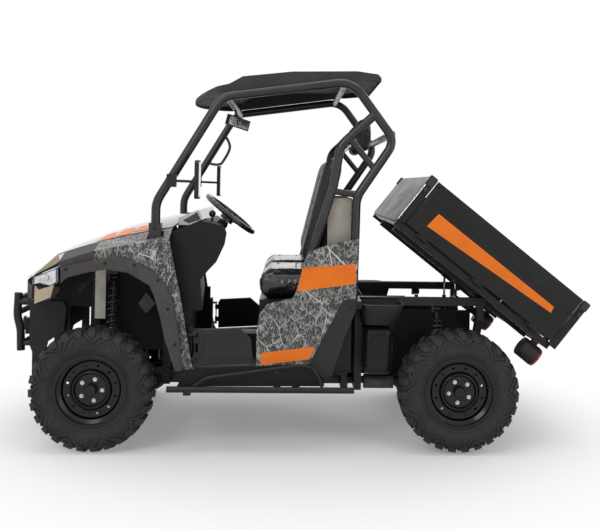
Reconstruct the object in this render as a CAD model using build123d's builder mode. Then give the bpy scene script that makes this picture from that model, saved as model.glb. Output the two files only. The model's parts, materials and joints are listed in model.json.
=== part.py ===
from build123d import *
import os
from math import cos, hypot, radians, sin, tan

# Side-by-side utility vehicle with a tipping cargo bed, in millimetres.
# X runs from the nose (negative) to the tail, -Y is the driver's left side, Z is up.
# The origin is on the ground, halfway along and across the vehicle with its bed raised.

# Wheels and axles
wheelbase = 1915
front_axle_x = -1051
rear_axle_x = front_axle_x + wheelbase
overall_width = 1520
tyre_radius = 320
front_tyre_width = 230
rear_tyre_width = 280
bead_seat_radius = 178
flange_height = 12
flange_thickness = 5
rim_wall = 6
disc_thickness = 5
disc_inset = 42
hub_radius = 50
hub_depth = 42
spindle_radius = 18
shaft_clearance = 0.5
front_wheel_y = (overall_width - front_tyre_width) / 2
rear_wheel_y = (overall_width - rear_tyre_width) / 2

# Steering and suspension
kingpin_inset = 75
knuckle_height = 210
knuckle_width = 64
ball_stud_radius = 9
ball_stud_length = 30
arm_eye_radius = 20
arm_tube = 26
arm_spread = 190
bush_diameter = 34
seat_clearance = 0.3
steering_arm_length = 100
steering_arm_z = 388
tie_rod_x = front_axle_x + 94
tie_rod_z = 362
tie_rod_diameter = 16
front_shock_top = (-1007, -360, 868.7)
front_shock_foot = (-1013, -425, 258.3)
rear_shock_top = (778, -420, 721.7)
rear_shock_foot = (784, -428, 268)
spring_diameter = 66

# Frame
rail_y = 240
rail_width = 40
rail_height = 34
rail_z = 288
frame_front_x = -1455.7
frame_rear_x = 1080
outrigger_z = 313
rear_rail_y = 420
rear_rail_top = 785
rear_rail_height = 45
rear_rail_front_x = 335
rear_rail_rear_x = 1052
frame_tube = 40
hitch_pin_radius = 8
hitch_pin_x = 1205
hitch_rear_x = 1240
hitch_width = 62
hitch_bore = 51

# Tipping bed, in the bed's own frame: origin on the pivot, x along the floor to the rear
bed_pivot_x = 1035
bed_pivot_z = 762
bed_tilt = 38
bed_front = -690
bed_rear = 401
bed_bottom = 39
bed_side_height = 300
bed_width = 1360
bed_sheet = 3
gate_thickness = 22
gate_clearance = 6
gate_hinge_height = 11
gate_pin_radius = 5
gate_knuckle_radius = 10
corner_post = 42
bed_rail_y = 368
pivot_pin_radius = 10
strut_y = 190
strut_foot_x = 921
strut_foot_z = 445
strut_eye_x = -145
strut_tube_diameter = 24
strut_rod_diameter = 14

# Roll cage
cage_tube = 48
cage_y = 620
cage_foot_z = 1070
cage_rear_foot_z = 786
brace_tube = 34

# Body
skin = 4
hood_half_width = 550
fender_y = 690
flare_y = 722
sill_y = 692
step_bar_diameter = 32
step_bar_y = 740
step_bar_z = 333
guard_rod_diameter = 16
floor_z = 402
door_hinge_x = -528
door_hinge_y = 672
seat_gap = 40
seat_width = 560
roof_half_width = 612
roof_front_x = -613
roof_rear_x = 447

# Controls
steering_wheel_centre = (-380, -300, 1225)
steering_wheel_diameter = 345
steering_rim_diameter = 28
column_tilt = 38
column_length = 250

os.makedirs("parts", exist_ok=True)


def save(piece, name):
    piece.part.label = name
    export_step(piece.part, f"parts/{name}.step")


# Round bar or tube between two points
def rod(start, end, diameter):
    run = Vector(*end) - Vector(*start)
    with BuildPart() as piece:
        with BuildSketch(Plane(origin=start, z_dir=run)):
            Circle(diameter / 2)
        extrude(amount=run.length)
    return piece.part


# Rectangular bar between two points: width is level, height is the other side, growth is all round
def bar(start, end, width, height, growth=0):
    run = Vector(*end) - Vector(*start)
    across = Vector(0, 0, 1).cross(run) if hypot(run.X, run.Y) > 1 else Vector(0, 1, 0)
    with BuildPart() as piece:
        foot = Vector(*start) - run.normalized() * growth
        with BuildSketch(Plane(origin=foot, x_dir=across, z_dir=run)):
            Rectangle(width + 2 * growth, height + 2 * growth)
        extrude(amount=run.length + 2 * growth)
    return piece.part


# Bent round tube along straight runs joined by tangent arcs
def bent_tube(points, diameter, bend_radius):
    with BuildPart() as piece:
        with BuildLine() as route:
            FilletPolyline(*points, radius=bend_radius)
        with BuildSketch(Plane(origin=route.line @ 0, z_dir=route.line % 0)):
            Circle(diameter / 2)
        sweep()
    return piece.part


# Flat plate with its outline in X and Z, from y_outer towards y_inner
def side_plate(outline, y_outer, y_inner, corner=0):
    with BuildPart() as piece:
        with BuildSketch(Plane.XZ.offset(-y_outer)) as face:
            with BuildLine():
                Polyline(*outline, close=True)
            make_face()
            if corner:
                fillet(face.vertices(), corner)
        extrude(amount=y_outer - y_inner)
    return piece.part


# Moulded left-hand panel: a side plate hollowed from its inner face
def side_tray(outline, y_outer, y_inner, wall, corner=0):
    with BuildPart() as piece:
        add(side_plate(outline, y_outer, y_inner, corner))
        with BuildSketch(Plane.XZ.offset(-y_outer - wall)) as hollow:
            with BuildLine():
                Polyline(*outline, close=True)
            make_face()
            if corner:
                fillet(hollow.vertices(), corner)
            offset(amount=-wall, kind=Kind.ARC, mode=Mode.REPLACE)
        extrude(amount=y_outer - y_inner, mode=Mode.SUBTRACT)
    return piece.part


def box_between(low, high):
    size = Vector(*high) - Vector(*low)
    centre = (Vector(*high) + Vector(*low)) / 2
    with BuildPart() as piece:
        with Locations(centre):
            Box(size.X, size.Y, size.Z)
    return piece.part


def mirrored(part):
    with BuildPart() as piece:
        mirror(part, about=Plane.XZ)
    return piece.part


# Both sides of a left-hand piece
def pair(part):
    with BuildPart() as piece:
        add(part)
        mirror(about=Plane.XZ)
    return piece.part


# Wheels: plane across the wheel, its x along the axle towards the outside, its y radial
def wheel_plane(x, y):
    outward = 1 if y > 0 else -1
    return Plane(origin=(x, y, tyre_radius), x_dir=(0, outward, 0), z_dir=(1, 0, 0))


def tyre(x, y, width):
    bead = 0.41 * width
    shoulder = 0.43 * width
    wall = 14
    flange_radius = bead_seat_radius + flange_height
    bulge_radius = (flange_radius + tyre_radius) / 2 - 5
    with BuildPart() as piece:
        with BuildSketch(wheel_plane(x, y)):
            with BuildLine():
                ThreePointArc((shoulder, tyre_radius - 14), (0, tyre_radius), (-shoulder, tyre_radius - 14))
                for side in (-1, 1):
                    ThreePointArc(
                        (side * bead, flange_radius),
                        (side * width / 2, bulge_radius),
                        (side * shoulder, tyre_radius - 14),
                    )
                    Polyline(
                        (side * bead, flange_radius),
                        (side * bead, bead_seat_radius),
                        (side * (bead - wall), bead_seat_radius),
                    )
                    ThreePointArc(
                        (side * (bead - wall), bead_seat_radius),
                        (side * (width / 2 - wall), bulge_radius),
                        (side * (shoulder - wall), tyre_radius - 2 * wall),
                    )
                ThreePointArc(
                    (shoulder - wall, tyre_radius - 2 * wall),
                    (0, tyre_radius - 1.4 * wall),
                    (wall - shoulder, tyre_radius - 2 * wall),
                )
            make_face()
        revolve(axis=Axis((x, y, tyre_radius), (0, 1, 0)))
    return piece.part


# Steel wheel with its hub and brake disc: barrel, stepped disc, six pressed pads with holes
def rim(x, y, width):
    bead = 0.41 * width
    disc = bead - disc_inset
    flange_radius = bead_seat_radius + flange_height
    barrel = bead_seat_radius - 18
    lip = bead + flange_thickness
    plane = wheel_plane(x, y)
    face = Plane(origin=plane.origin + plane.x_dir * disc, z_dir=plane.x_dir)
    with BuildPart() as piece:
        with BuildSketch(plane):
            with BuildLine():
                Polyline(
                    (-lip, flange_radius),
                    (-bead, flange_radius),
                    (-bead, bead_seat_radius),
                    (28 - bead, bead_seat_radius),
                    (40 - bead, barrel),
                    (bead - 40, barrel),
                    (bead - 28, bead_seat_radius),
                    (bead, bead_seat_radius),
                    (bead, flange_radius),
                    (lip, flange_radius),
                    (lip, bead_seat_radius - rim_wall),
                    (bead - 24, bead_seat_radius - rim_wall),
                    (bead - 36, barrel - rim_wall),
                    (36 - bead, barrel - rim_wall),
                    (24 - bead, bead_seat_radius - rim_wall),
                    (-lip, bead_seat_radius - rim_wall),
                    close=True,
                )
            make_face()
            with BuildLine():
                Polyline(
                    (disc, spindle_radius + shaft_clearance),
                    (disc, 80),
                    (disc + 10, 88),
                    (disc + 10, 97),
                    (disc - 4, 108),
                    (disc - 4, 144),
                    (disc - 14, barrel - rim_wall),
                    (disc - 14 - disc_thickness, barrel - rim_wall),
                    (disc - 4 - disc_thickness, 144),
                    (disc - 4 - disc_thickness, 107),
                    (disc + 10 - disc_thickness, 96),
                    (disc + 10 - disc_thickness, 89),
                    (disc - disc_thickness, 81),
                    (disc - hub_depth, hub_radius),
                    (disc - hub_depth, spindle_radius + shaft_clearance),
                    close=True,
                )
            make_face()
        revolve(axis=Axis((x, y, tyre_radius), (0, 1, 0)))
        with BuildSketch(face.offset(-4 - disc_thickness / 2)):
            with PolarLocations(0, 6, start_angle=30):
                with BuildLine():
                    CenterArc((0, 0), 139, -22, 44)
                    CenterArc((0, 0), 113, -22, 44)
                    for turn in (-22, 22):
                        Line(
                            (113 * cos(radians(turn)), 113 * sin(radians(turn))),
                            (139 * cos(radians(turn)), 139 * sin(radians(turn))),
                        )
                make_face()
        extrude(amount=9)
        with Locations(face.offset(-14)):
            with PolarLocations(126, 12, start_angle=15):
                Cylinder(6.5, 60, mode=Mode.SUBTRACT)
        with Locations(face.offset(10)):
            Cylinder(27, 24)
    return piece.part


axles = (
    # name, x, y from the middle, tyre width
    ("front", front_axle_x, front_wheel_y, front_tyre_width),
    ("rear", rear_axle_x, rear_wheel_y, rear_tyre_width),
)
sides = (("left", -1), ("right", 1))

for axle, x, wheel_y, width in axles:
    for side, sign in sides:
        with BuildPart() as rubber:
            add(tyre(x, sign * wheel_y, width))
        save(rubber, f"tyre_{axle}_{side}")
        with BuildPart() as wheel:
            add(rim(x, sign * wheel_y, width))
        save(wheel, f"rim_{axle}_{side}")


# Upright with its two ball studs and its spindle, left side
def upright(x, wheel_y, width):
    bead = 0.41 * width
    kingpin_y = kingpin_inset - wheel_y
    hub_inner_y = hub_depth - (bead - disc_inset) - wheel_y
    face_y = hub_inner_y + 2
    half = knuckle_height / 2
    with BuildPart() as piece:
        add(box_between(
            (x - knuckle_width / 2, face_y, tyre_radius - half),
            (x + knuckle_width / 2, kingpin_y + 20, tyre_radius + half),
        ))
        fillet(piece.edges().filter_by(Axis.Y), 12)
        spindle_end = disc_inset - bead - wheel_y + 2
        add(rod((x, face_y, tyre_radius), (x, spindle_end, tyre_radius), 2 * spindle_radius))
        for end in (-1, 1):
            seat = tyre_radius + end * (half - 2)
            tip = tyre_radius + end * (half + ball_stud_length)
            add(rod((x, kingpin_y, seat), (x, kingpin_y, tip), 2 * ball_stud_radius))
    return piece.part


with BuildPart() as knuckle:
    kingpin_y = kingpin_inset - front_wheel_y
    add(upright(front_axle_x, front_wheel_y, front_tyre_width))
    arm_end = (front_axle_x + steering_arm_length, kingpin_y, steering_arm_z)
    add(bar((front_axle_x + knuckle_width / 2 - 4, kingpin_y, steering_arm_z), arm_end, 26, 14))
    add(rod((arm_end[0], kingpin_y, steering_arm_z - 7), (arm_end[0], kingpin_y, steering_arm_z + 16), 28))
for side, sign in sides:
    with BuildPart() as front_knuckle:
        add(knuckle.part if sign < 0 else mirrored(knuckle.part))
    save(front_knuckle, f"knuckle_{side}")


# A-arm from the frame to a ball stud: two legs, the eye and the two frame bushes
def a_arm(x, wheel_y, stud_z, inner_z, front_leg, rear_leg):
    kingpin_y = kingpin_inset - wheel_y
    inner_y = -(rail_y + rail_width / 2 + bush_diameter / 2 + seat_clearance)
    rise = 9
    with BuildPart() as piece:
        for leg in (front_leg, rear_leg):
            knee = (x + leg * 0.12, kingpin_y + 34, stud_z)
            foot = (x + leg, inner_y, inner_z)
            add(rod((x, kingpin_y + 8, stud_z), knee, arm_tube))
            add(rod(knee, foot, arm_tube))
            add(rod((x + leg - 24, inner_y, inner_z), (x + leg + 24, inner_y, inner_z), bush_diameter))
        add(rod((x, kingpin_y, stud_z - rise), (x, kingpin_y, stud_z + rise), 2 * arm_eye_radius))
        bore = 2 * (ball_stud_radius + shaft_clearance)
        eye_bore = rod((x, kingpin_y, stud_z - 30), (x, kingpin_y, stud_z + 30), bore)
        add(eye_bore, mode=Mode.SUBTRACT)
    return piece.part


stud_rise = knuckle_height / 2 + ball_stud_length / 2 + 2
upper_z = tyre_radius + stud_rise
lower_z = tyre_radius - stud_rise
with BuildPart() as suspension_arms:
    for arm in (
        a_arm(front_axle_x, front_wheel_y, upper_z, 430, -arm_spread, arm_spread),
        a_arm(front_axle_x, front_wheel_y, lower_z, rail_z, -arm_spread, arm_spread),
        a_arm(rear_axle_x, rear_wheel_y, upper_z, 430, 0, arm_spread),
        a_arm(rear_axle_x, rear_wheel_y, lower_z, rail_z, -arm_spread, arm_spread),
    ):
        add(pair(arm))
    for x, foot in ((front_axle_x, front_shock_foot), (rear_axle_x, rear_shock_foot)):
        plate_z = foot[2] - 18 - seat_clearance - 10
        add(pair(bar((x - 98, foot[1], plate_z), (x + 98, foot[1], plate_z), 40, 20)))
save(suspension_arms, "suspension_arms")


# Coil-over shock: body, coil envelope, seats and eyes
def shock(top, foot):
    axis = (Vector(*foot) - Vector(*top)).normalized()
    length = (Vector(*foot) - Vector(*top)).length

    def at(distance):
        return tuple(Vector(*top) + axis * distance)

    with BuildPart() as piece:
        add(rod(at(0), at(length), 22))
        add(rod(at(28), at(42), spring_diameter + 6))
        add(rod(at(length * 0.62), at(length * 0.62 + 14), spring_diameter + 6))
        add(rod(at(36), at(length * 0.62 + 4), spring_diameter - 14))
        add(rod(at(length * 0.62), at(length - 30), 40))
        turns = 7
        for turn in range(turns):
            middle = 42 + (turn + 0.5) * (length * 0.62 - 42) / turns
            add(rod(at(middle - 6), at(middle + 6), spring_diameter))
        for end in (top, foot):
            add(rod((end[0] - 18, end[1], end[2]), (end[0] + 18, end[1], end[2]), 36))
    return piece.part


with BuildPart() as shocks:
    add(pair(shock(front_shock_top, front_shock_foot)))
    add(pair(shock(rear_shock_top, rear_shock_foot)))
save(shocks, "shock_absorbers")

# Rack housing stays on the frame; the rack and its two tie rods slide as one piece
with BuildPart() as tie_rods:
    reach = front_wheel_y - kingpin_inset + 12
    add(rod((tie_rod_x, -reach, tie_rod_z), (tie_rod_x, reach, tie_rod_z), tie_rod_diameter))
    for sign in (-1, 1):
        add(rod((tie_rod_x, sign * 260, tie_rod_z), (tie_rod_x, sign * 330, tie_rod_z), 26))
        add(rod(
            (tie_rod_x, sign * (reach - 12), tie_rod_z - 10),
            (tie_rod_x, sign * (reach - 12), tie_rod_z + 10),
            28,
        ))
save(tie_rods, "tie_rods")

# Engine block, two final drives with drive shafts and the rear hub carriers
with BuildPart() as engine:
    add(box_between((430, -165, 308), (700, 165, 640)))
    fillet(engine.edges().filter_by(Axis.Y), 30)
    add(box_between((700, -120, 340), (794, 120, 480)))
    # Muffler outside the left rail
    add(rod((380, -392, 312), (545, -392, 312), 80))
    add(box_between((430, -360, 300), (470, -260.3, 320)))
    add(rod((545, -392, 312), (580, -392, 312), 34))
save(engine, "engine")

with BuildPart() as drive_line:
    for x, wheel_y, joint_gap in ((front_axle_x, front_wheel_y, 39), (rear_axle_x, rear_wheel_y, 32)):
        inner = wheel_y - kingpin_inset - joint_gap
        add(rod((x, -120, tyre_radius), (x, 120, tyre_radius), 98))
        add(rod((x, -inner, tyre_radius), (x, inner, tyre_radius), 28))
        for sign in (-1, 1):
            add(rod((x, sign * 118, tyre_radius), (x, sign * 205, tyre_radius), 84))
            add(rod((x, sign * (inner - 62), tyre_radius), (x, sign * inner, tyre_radius), 76))
    add(rod((front_axle_x + 45, 0, 322), (429.7, 0, 322), 28))
    add(pair(upright(rear_axle_x, rear_wheel_y, rear_tyre_width)))
save(drive_line, "drive_line")

# Main frame: each bar stops just short of the ones before it, so every bar is a straight piece
rail_middle = rear_rail_top - rear_rail_height / 2
frame_pairs = (
    # start, end, width, height
    ((frame_front_x, -rail_y, rail_z), (frame_rear_x, -rail_y, rail_z), rail_width, rail_height),
    (
        (rear_rail_front_x - 20, -rear_rail_y, rail_middle), (rear_rail_rear_x, -rear_rail_y, rail_middle),
        frame_tube, rear_rail_height,
    ),
    ((frame_front_x, -rail_y, rail_z), (frame_front_x, -rail_y, 740), 30, 40),
    ((-1290, -rail_y, rail_z), (-1290, -rail_y, 740), 30, 40),
    ((frame_front_x, -rail_y, 722), (-1290, -rail_y, 722), 30, 36),
    ((-720, -300, rail_z - 17), (-720, -300, 1030), 40, 40),
    ((-1110, -300, rail_z - 17), (-1110, -300, 887), 30, 40),
    ((front_shock_top[0] - 70, -300, 905), (-740, -300, 905), 30, 36),
    ((-1290, -rail_y, 722), (front_shock_top[0] - 73, -300, 905), 30, 36),
    ((-720, -600, 1050), (-720, -300, 1050), 40, 40),
    ((-600, -rail_y, outrigger_z), (-600, -640, outrigger_z), 40, 34),
    ((-600, -400, outrigger_z + 16.7), (-600, -400, floor_z - 4.3), 40, 30),
    ((-100, -rail_y, rail_z), (-100, -420, rail_z), 40, 30),
    ((-100, -400, rail_z + 14.7), (-100, -400, floor_z - 4.3), 40, 30),
    ((270, -rail_y, rail_z), (270, -420, rail_z), 40, 30),
    ((270, -400, rail_z + 14.7), (270, -400, floor_z - 4.3), 40, 30),
    ((-560, -rail_y, outrigger_z), (-560, -724, outrigger_z), 38, 30),
    ((2, -rail_y, outrigger_z), (2, -640, outrigger_z), 40, 34),
    ((-30, -cage_y, 765), (rear_rail_front_x + 8, -cage_y, 765), 40, 40),
    ((2, -cage_y, outrigger_z + 16.7), (2, -cage_y, 744.7), 40, 40),
    ((rear_rail_front_x - 12, -cage_y, 765), (rear_rail_front_x - 12, -rear_rail_y, 765), 40, 40),
    ((rear_rail_front_x + 8, -rail_y, rail_z), (rear_rail_front_x + 8, -rear_rail_y - 20, rail_z), 40, 34),
    (
        (rear_rail_front_x + 8, -rear_rail_y, rail_z + 16.7),
        (rear_rail_front_x + 8, -rear_rail_y, 760), 40, 40,
    ),
    ((rear_rail_rear_x - 32, -rail_y, rail_z), (rear_rail_rear_x - 32, -rail_y, 445), 40, 40),
    ((rear_rail_rear_x - 32, -rail_y, 444.7), (rear_rail_rear_x - 32, -rear_rail_y, 680), 40, 40),
    ((rear_rail_rear_x - 32, -rear_rail_y, 660), (rear_rail_rear_x - 32, -rear_rail_y, 760), 40, 40),
)
frame_crossbars = (
    # x, z, half length, width, height
    (frame_front_x, rail_z, rail_y, 40, rail_height),
    (frame_front_x, 722, rail_y, 30, 30),
    (-1290, 722, rail_y, 30, 30),
    (-1250, rail_z, rail_y, 40, rail_height),
    (front_shock_top[0], 905, 400, 40, 36),
    (-720, rail_z, rail_y, 40, rail_height),
    (-720, 1010, 300, 30, 30),
    (-200, rail_z, rail_y, 40, rail_height),
    (rear_rail_front_x + 8, rail_z, rail_y, 40, rail_height),
    (rear_rail_front_x + 8, 700, rear_rail_y, 30, 30),
    (frame_rear_x - 20, rail_z, rail_y, 40, rail_height),
    (rear_rail_rear_x - 32, 690, rear_rail_y, 30, 30),
    (strut_foot_x + 2, strut_foot_z - 40, rail_y, 30, 30),
)
with BuildPart() as frame_brackets:
    strut_bar_top = strut_foot_z - 25
    add(pair(box_between(
        (strut_foot_x - 13, -rail_y - 20, rail_z), (strut_foot_x + 17, -rail_y + 20, strut_bar_top)
    )))
    for side_y in (-strut_y - 12.5, -strut_y + 8.5):
        add(pair(box_between(
            (strut_foot_x - 10, side_y, strut_bar_top - 5), (strut_foot_x + 10, side_y + 4, strut_foot_z + 5)
        )))
    add(pair(rod(
        (strut_foot_x, -strut_y - 12, strut_foot_z), (strut_foot_x, -strut_y + 12, strut_foot_z), 10
    )))
    add(pair(box_between((-1110, -402, 890), (-980, -380, 920))))
    # Shock brackets and suspension brackets
    add(pair(box_between((front_shock_top[0] - 30, -400, 850), (front_shock_top[0] - 18.3, -325, 890))))
    add(pair(box_between((rear_shock_top[0] - 30, -440, 704), (rear_shock_top[0] - 18.3, -400, 745))))
    for x, front_leg in ((front_axle_x, -arm_spread), (rear_axle_x, 0)):
        for leg in (front_leg, arm_spread):
            upper_foot = x + leg
            add(pair(box_between(
                (upper_foot - 22, -rail_y - rail_width / 2, rail_z + rail_height / 2 + seat_clearance),
                (upper_foot + 22, -rail_y + 15, 450),
            )))
    half_shaft_gap = 40
    add(pair(rod(
        (rear_axle_x, -rail_y - 22, tyre_radius), (rear_axle_x, -rail_y + 22, tyre_radius), half_shaft_gap
    )), mode=Mode.SUBTRACT)
    # Hitch receiver with its cross pin hole
    add(bar((frame_rear_x - 40, 0, rail_z), (hitch_rear_x, 0, rail_z), hitch_width, hitch_width))
    add(bar((frame_rear_x, 0, rail_z), (hitch_rear_x, 0, rail_z), hitch_bore, hitch_bore), mode=Mode.SUBTRACT)
    with Locations(Location((hitch_pin_x, 0, rail_z), (90, 0, 0))):
        Cylinder(hitch_pin_radius, hitch_width + 20, mode=Mode.SUBTRACT)
    # Bed pivot pins and steering rack housing
    add(pair(rod(
        (bed_pivot_x, -rear_rail_y, bed_pivot_z),
        (bed_pivot_x, 20 - bed_rail_y, bed_pivot_z),
        2 * pivot_pin_radius,
    )))
    add(rod((tie_rod_x, -175, tie_rod_z), (tie_rod_x, 175, tie_rod_z), 40))
    add(pair(box_between((tie_rod_x - 15, -180, rail_z - 10), (tie_rod_x + 15, -150, tie_rod_z))))
    add(pair(box_between((tie_rod_x - 15, -230, rail_z - 10), (tie_rod_x + 15, -150, rail_z + 15))))
    add(rod(
        (tie_rod_x, -300, tie_rod_z), (tie_rod_x, 300, tie_rod_z), tie_rod_diameter + 2 * shaft_clearance
    ), mode=Mode.SUBTRACT)



def boxes_meet(a, b):
    a, b = a.bounding_box(), b.bounding_box()
    along = a.min.X < b.max.X and b.min.X < a.max.X
    across = a.min.Y < b.max.Y and b.min.Y < a.max.Y
    return along and across and a.min.Z < b.max.Z and b.min.Z < a.max.Z


def clear_of(body, others):
    with BuildPart() as piece:
        add(body)
        for other in others:
            if boxes_meet(body, other):
                add(other, mode=Mode.SUBTRACT)
    return piece.part


members = []
placed = []
for start, end, width, height in frame_pairs:
    member = clear_of(bar(start, end, width, height), placed)
    members += [member, mirrored(member)]
    placed.append(bar(start, end, width, height, seat_clearance))
placed += [mirrored(other) for other in placed]
for x, z, half, width, height in frame_crossbars:
    ends = ((x, -half, z), (x, half, z))
    members.append(clear_of(bar(*ends, width, height), placed))
    placed.append(bar(*ends, width, height, seat_clearance))
members.append(clear_of(frame_brackets.part, placed))
with BuildPart() as frame:
    add(members)
    # Skid plate under the rails
    with BuildSketch(Plane.XY.offset(rail_z - rail_height / 2 - 3 - seat_clearance)):
        with Locations(((frame_front_x + rear_rail_front_x) / 2, 0)):
            RectangleRounded(rear_rail_front_x - frame_front_x, 2 * rail_y + rail_width, 40)
    extrude(amount=3)
save(frame, "frame")


# Dark splash shields inboard of the wheels, notched round the frame's bars
shield_y = 275
shield_outlines = (
    (
        (-1385, 790), (-1380, 880), (-1265, 960), (-990, 990), (-745, 990), (-745, 455), (-1150, 455),
        (-1150, 690), (-1290, 700),
    ),
    ((301, 330), (301, 696.8), (995, 696.8), (995, 475), (600, 475), (600, 330)),
)
with BuildPart() as splash_shields:
    for outline in shield_outlines:
        add(pair(clear_of(side_plate(outline, -shield_y, 2.5 - shield_y), placed)))
save(splash_shields, "splash_shields")

# Pale strap plates beside the front shocks
with BuildPart() as tower_straps:
    add(pair(box_between((-1100, -408, 645), (-1044, -402.3, 918))))
save(tower_straps, "tower_straps")

# Step bars beside the sills, each with its bent guard rod
with BuildPart() as step_bars:
    rod_y = -step_bar_y + 10
    add(rod((-661, -step_bar_y, step_bar_z), (304, -step_bar_y, step_bar_z), step_bar_diameter))
    guard = [(-526, 347), (-459, 392), (35, 462), (92, 444), (124, 392), (140, 339)]
    add(bent_tube([(x, rod_y, z) for x, z in guard], guard_rod_diameter, [60, 120, 30, 30]))
    mirror(about=Plane.XZ)
save(step_bars, "step_bars")

# Bull bar: two bent uprights, cross tubes and the stays to the frame
with BuildPart() as bull_bar:
    add(bent_tube([(-1530, -280, 446), (-1533, -280, 560), (-1553, -280, 640), (-1548, -280, 766)], 44, 200))
    add(rod((-1533, -280, 486), (-1480.3, -280, 486), 30))
    add(rod((-1548, -280, 716), (-1480.3, -280, 716), 36))
    add(rod((-1551, -280, 655), (-1551, 0, 655), 34))
    add(rod((-1532, -280, 480), (-1532, 0, 480), 34))
    add(rod((-1550, -280, 728), (-1550, 0, 728), 38))
    mirror(about=Plane.XZ)
save(bull_bar, "bull_bar")

# Winch between the uprights, with fairlead, hook and hook block
with BuildPart() as winch:
    add(rod((-1519, -150, 560), (-1519, 150, 560), 70))
    for y in (-150, 90):
        add(box_between((-1545, y, 515), (-1480.3, y + 60, 605)))
    add(box_between((-1566, -110, 532), (-1543, 110, 588)))
    add(rod((-1579, -60, 575), (-1566, -60, 575), 52))
save(winch, "winch")


# Roll cage
cage_slope = (1952 - 1853) / (271 + 414)
cage_path = [
    (-749, cage_foot_z), (-749, 1290), (-414, 1853),
    (271, 1952), (507, 1638), (306, 1335), (298, cage_rear_foot_z),
]
pillar_path = [(400, 1780), (217, 1609), (184, 1395), (4, cage_rear_foot_z + 7)]
with BuildPart() as cage_side:
    add(bent_tube([(x, -cage_y, z) for x, z in cage_path], cage_tube, [150, 110, 130, 90, 150]))
    add(bent_tube([(x, -cage_y, z) for x, z in pillar_path], cage_tube, [110, 300]))
    add(rod((262, -cage_y, 1650), (404, -cage_y, 1482), brace_tube))
    add(rod((178, -cage_y, 1366), (306, -cage_y, 1349), brace_tube))
    add(box_between((-785, -cage_y - 34, cage_foot_z), (-713, -cage_y + 34, cage_foot_z + 8)))
    add(box_between((-781, -cage_y - 28, cage_foot_z), (-717, -cage_y + 28, cage_foot_z + 112)))
for side, sign in sides:
    with BuildPart() as hoop:
        add(cage_side.part if sign < 0 else mirrored(cage_side.part))
    save(hoop, f"cage_{side}")

inner_cage_y = cage_y - cage_tube / 2 - seat_clearance
with BuildPart() as cage_crossbars:
    for x, z, diameter in ((-385, 1852, 38), (235, 1942, 38), (490, 1676, 42), (306, 1352, 38)):
        add(rod((x, -inner_cage_y, z), (x, inner_cage_y, z), diameter))
save(cage_crossbars, "cage_crossbars")


# Height of the roof's lower edge, just clear of the cage's top tube
def roof_edge_z(x):
    return 1853 + cage_slope * (x + 414) + (cage_tube / 2 + seat_clearance) * hypot(1, cage_slope)


# Block inside the roof's outline: side profile cut to a plan with a bowed front and tapered rear
def roof_block(inset):
    half = roof_half_width - inset
    front = roof_front_x + inset
    rear = roof_rear_x - inset
    drop = 4 * inset
    with BuildPart() as block:
        with BuildSketch(Plane.XZ.offset(-roof_half_width)):
            with BuildLine():
                Polyline(
                    (roof_front_x - 1, 1853 - inset), (roof_front_x, 1868 - inset), (-377, 1925 - inset),
                    (-308, 1965 - inset), (-45, 1997 - inset), (424, 2011 - inset),
                    (roof_rear_x, 1993 - inset), (roof_rear_x, roof_edge_z(271) - drop),
                    (271, roof_edge_z(271) - drop), (-430, roof_edge_z(-430) - drop), close=True,
                )
            make_face()
        extrude(amount=2 * roof_half_width)
        with BuildSketch(Plane.XY.offset(1700)) as plan:
            with BuildLine():
                Polyline((-440 + inset, half), (300, half), (rear, half - 170), (rear, 170 - half))
                Polyline((rear, 170 - half), (300, -half), (-440 + inset, -half))
                ThreePointArc((-440 + inset, -half), (front, 0), (-440 + inset, half))
            make_face()
            fillet(plan.vertices(), 40 - inset)
        extrude(amount=400, mode=Mode.INTERSECT)
    return block.part


# Roof: pressed skin, open below
with BuildPart() as roof:
    add(roof_block(0))
    add(roof_block(5), mode=Mode.SUBTRACT)
save(roof, "roof")


# Bed frame: origin on the pivot, x towards the tail along the floor, z square to the floor
tilt = radians(bed_tilt)
bed = Plane(
    origin=(bed_pivot_x, 0, bed_pivot_z),
    x_dir=(cos(tilt), 0, -sin(tilt)),
    z_dir=(sin(tilt), 0, cos(tilt)),
)
bed_top = bed_bottom + bed_side_height
floor_top = bed_bottom + 12
floor_half = bed_width / 2 - gate_thickness - gate_clearance
hinge_z = bed_bottom + gate_hinge_height
hinge_inset = 12
gate_foot = 16
gate_length = bed_rear - corner_post - gate_clearance - (bed_front + corner_post + gate_clearance)
gate_middle = (bed_front + bed_rear) / 2
tailgate_length = bed_width - 2 * (gate_thickness + 8) - 2 * gate_clearance


def in_bed(x, y, z):
    return tuple(bed.from_local_coords(Vector(x, y, z)))


def bed_box(low, high):
    with BuildPart(bed) as piece:
        with Locations(tuple((a + b) / 2 for a, b in zip(low, high))):
            Box(*[b - a for a, b in zip(low, high)])
    return piece.part


# Hinge plane of a gate: origin on the hinge axis, x along it, y outwards, z up the gate
gate_planes = {
    "left": Plane(
        origin=in_bed(gate_middle, hinge_inset - bed_width / 2, hinge_z), x_dir=-bed.x_dir, z_dir=bed.z_dir
    ),
    "right": Plane(
        origin=in_bed(gate_middle, bed_width / 2 - hinge_inset, hinge_z), x_dir=bed.x_dir, z_dir=bed.z_dir
    ),
    "tail": Plane(origin=in_bed(bed_rear - hinge_inset, 0, hinge_z), x_dir=(0, -1, 0), z_dir=bed.z_dir),
}


def hinge_places(length):
    return [(place * length, 0, 0) for place in (-0.38, 0, 0.38)]


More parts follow.
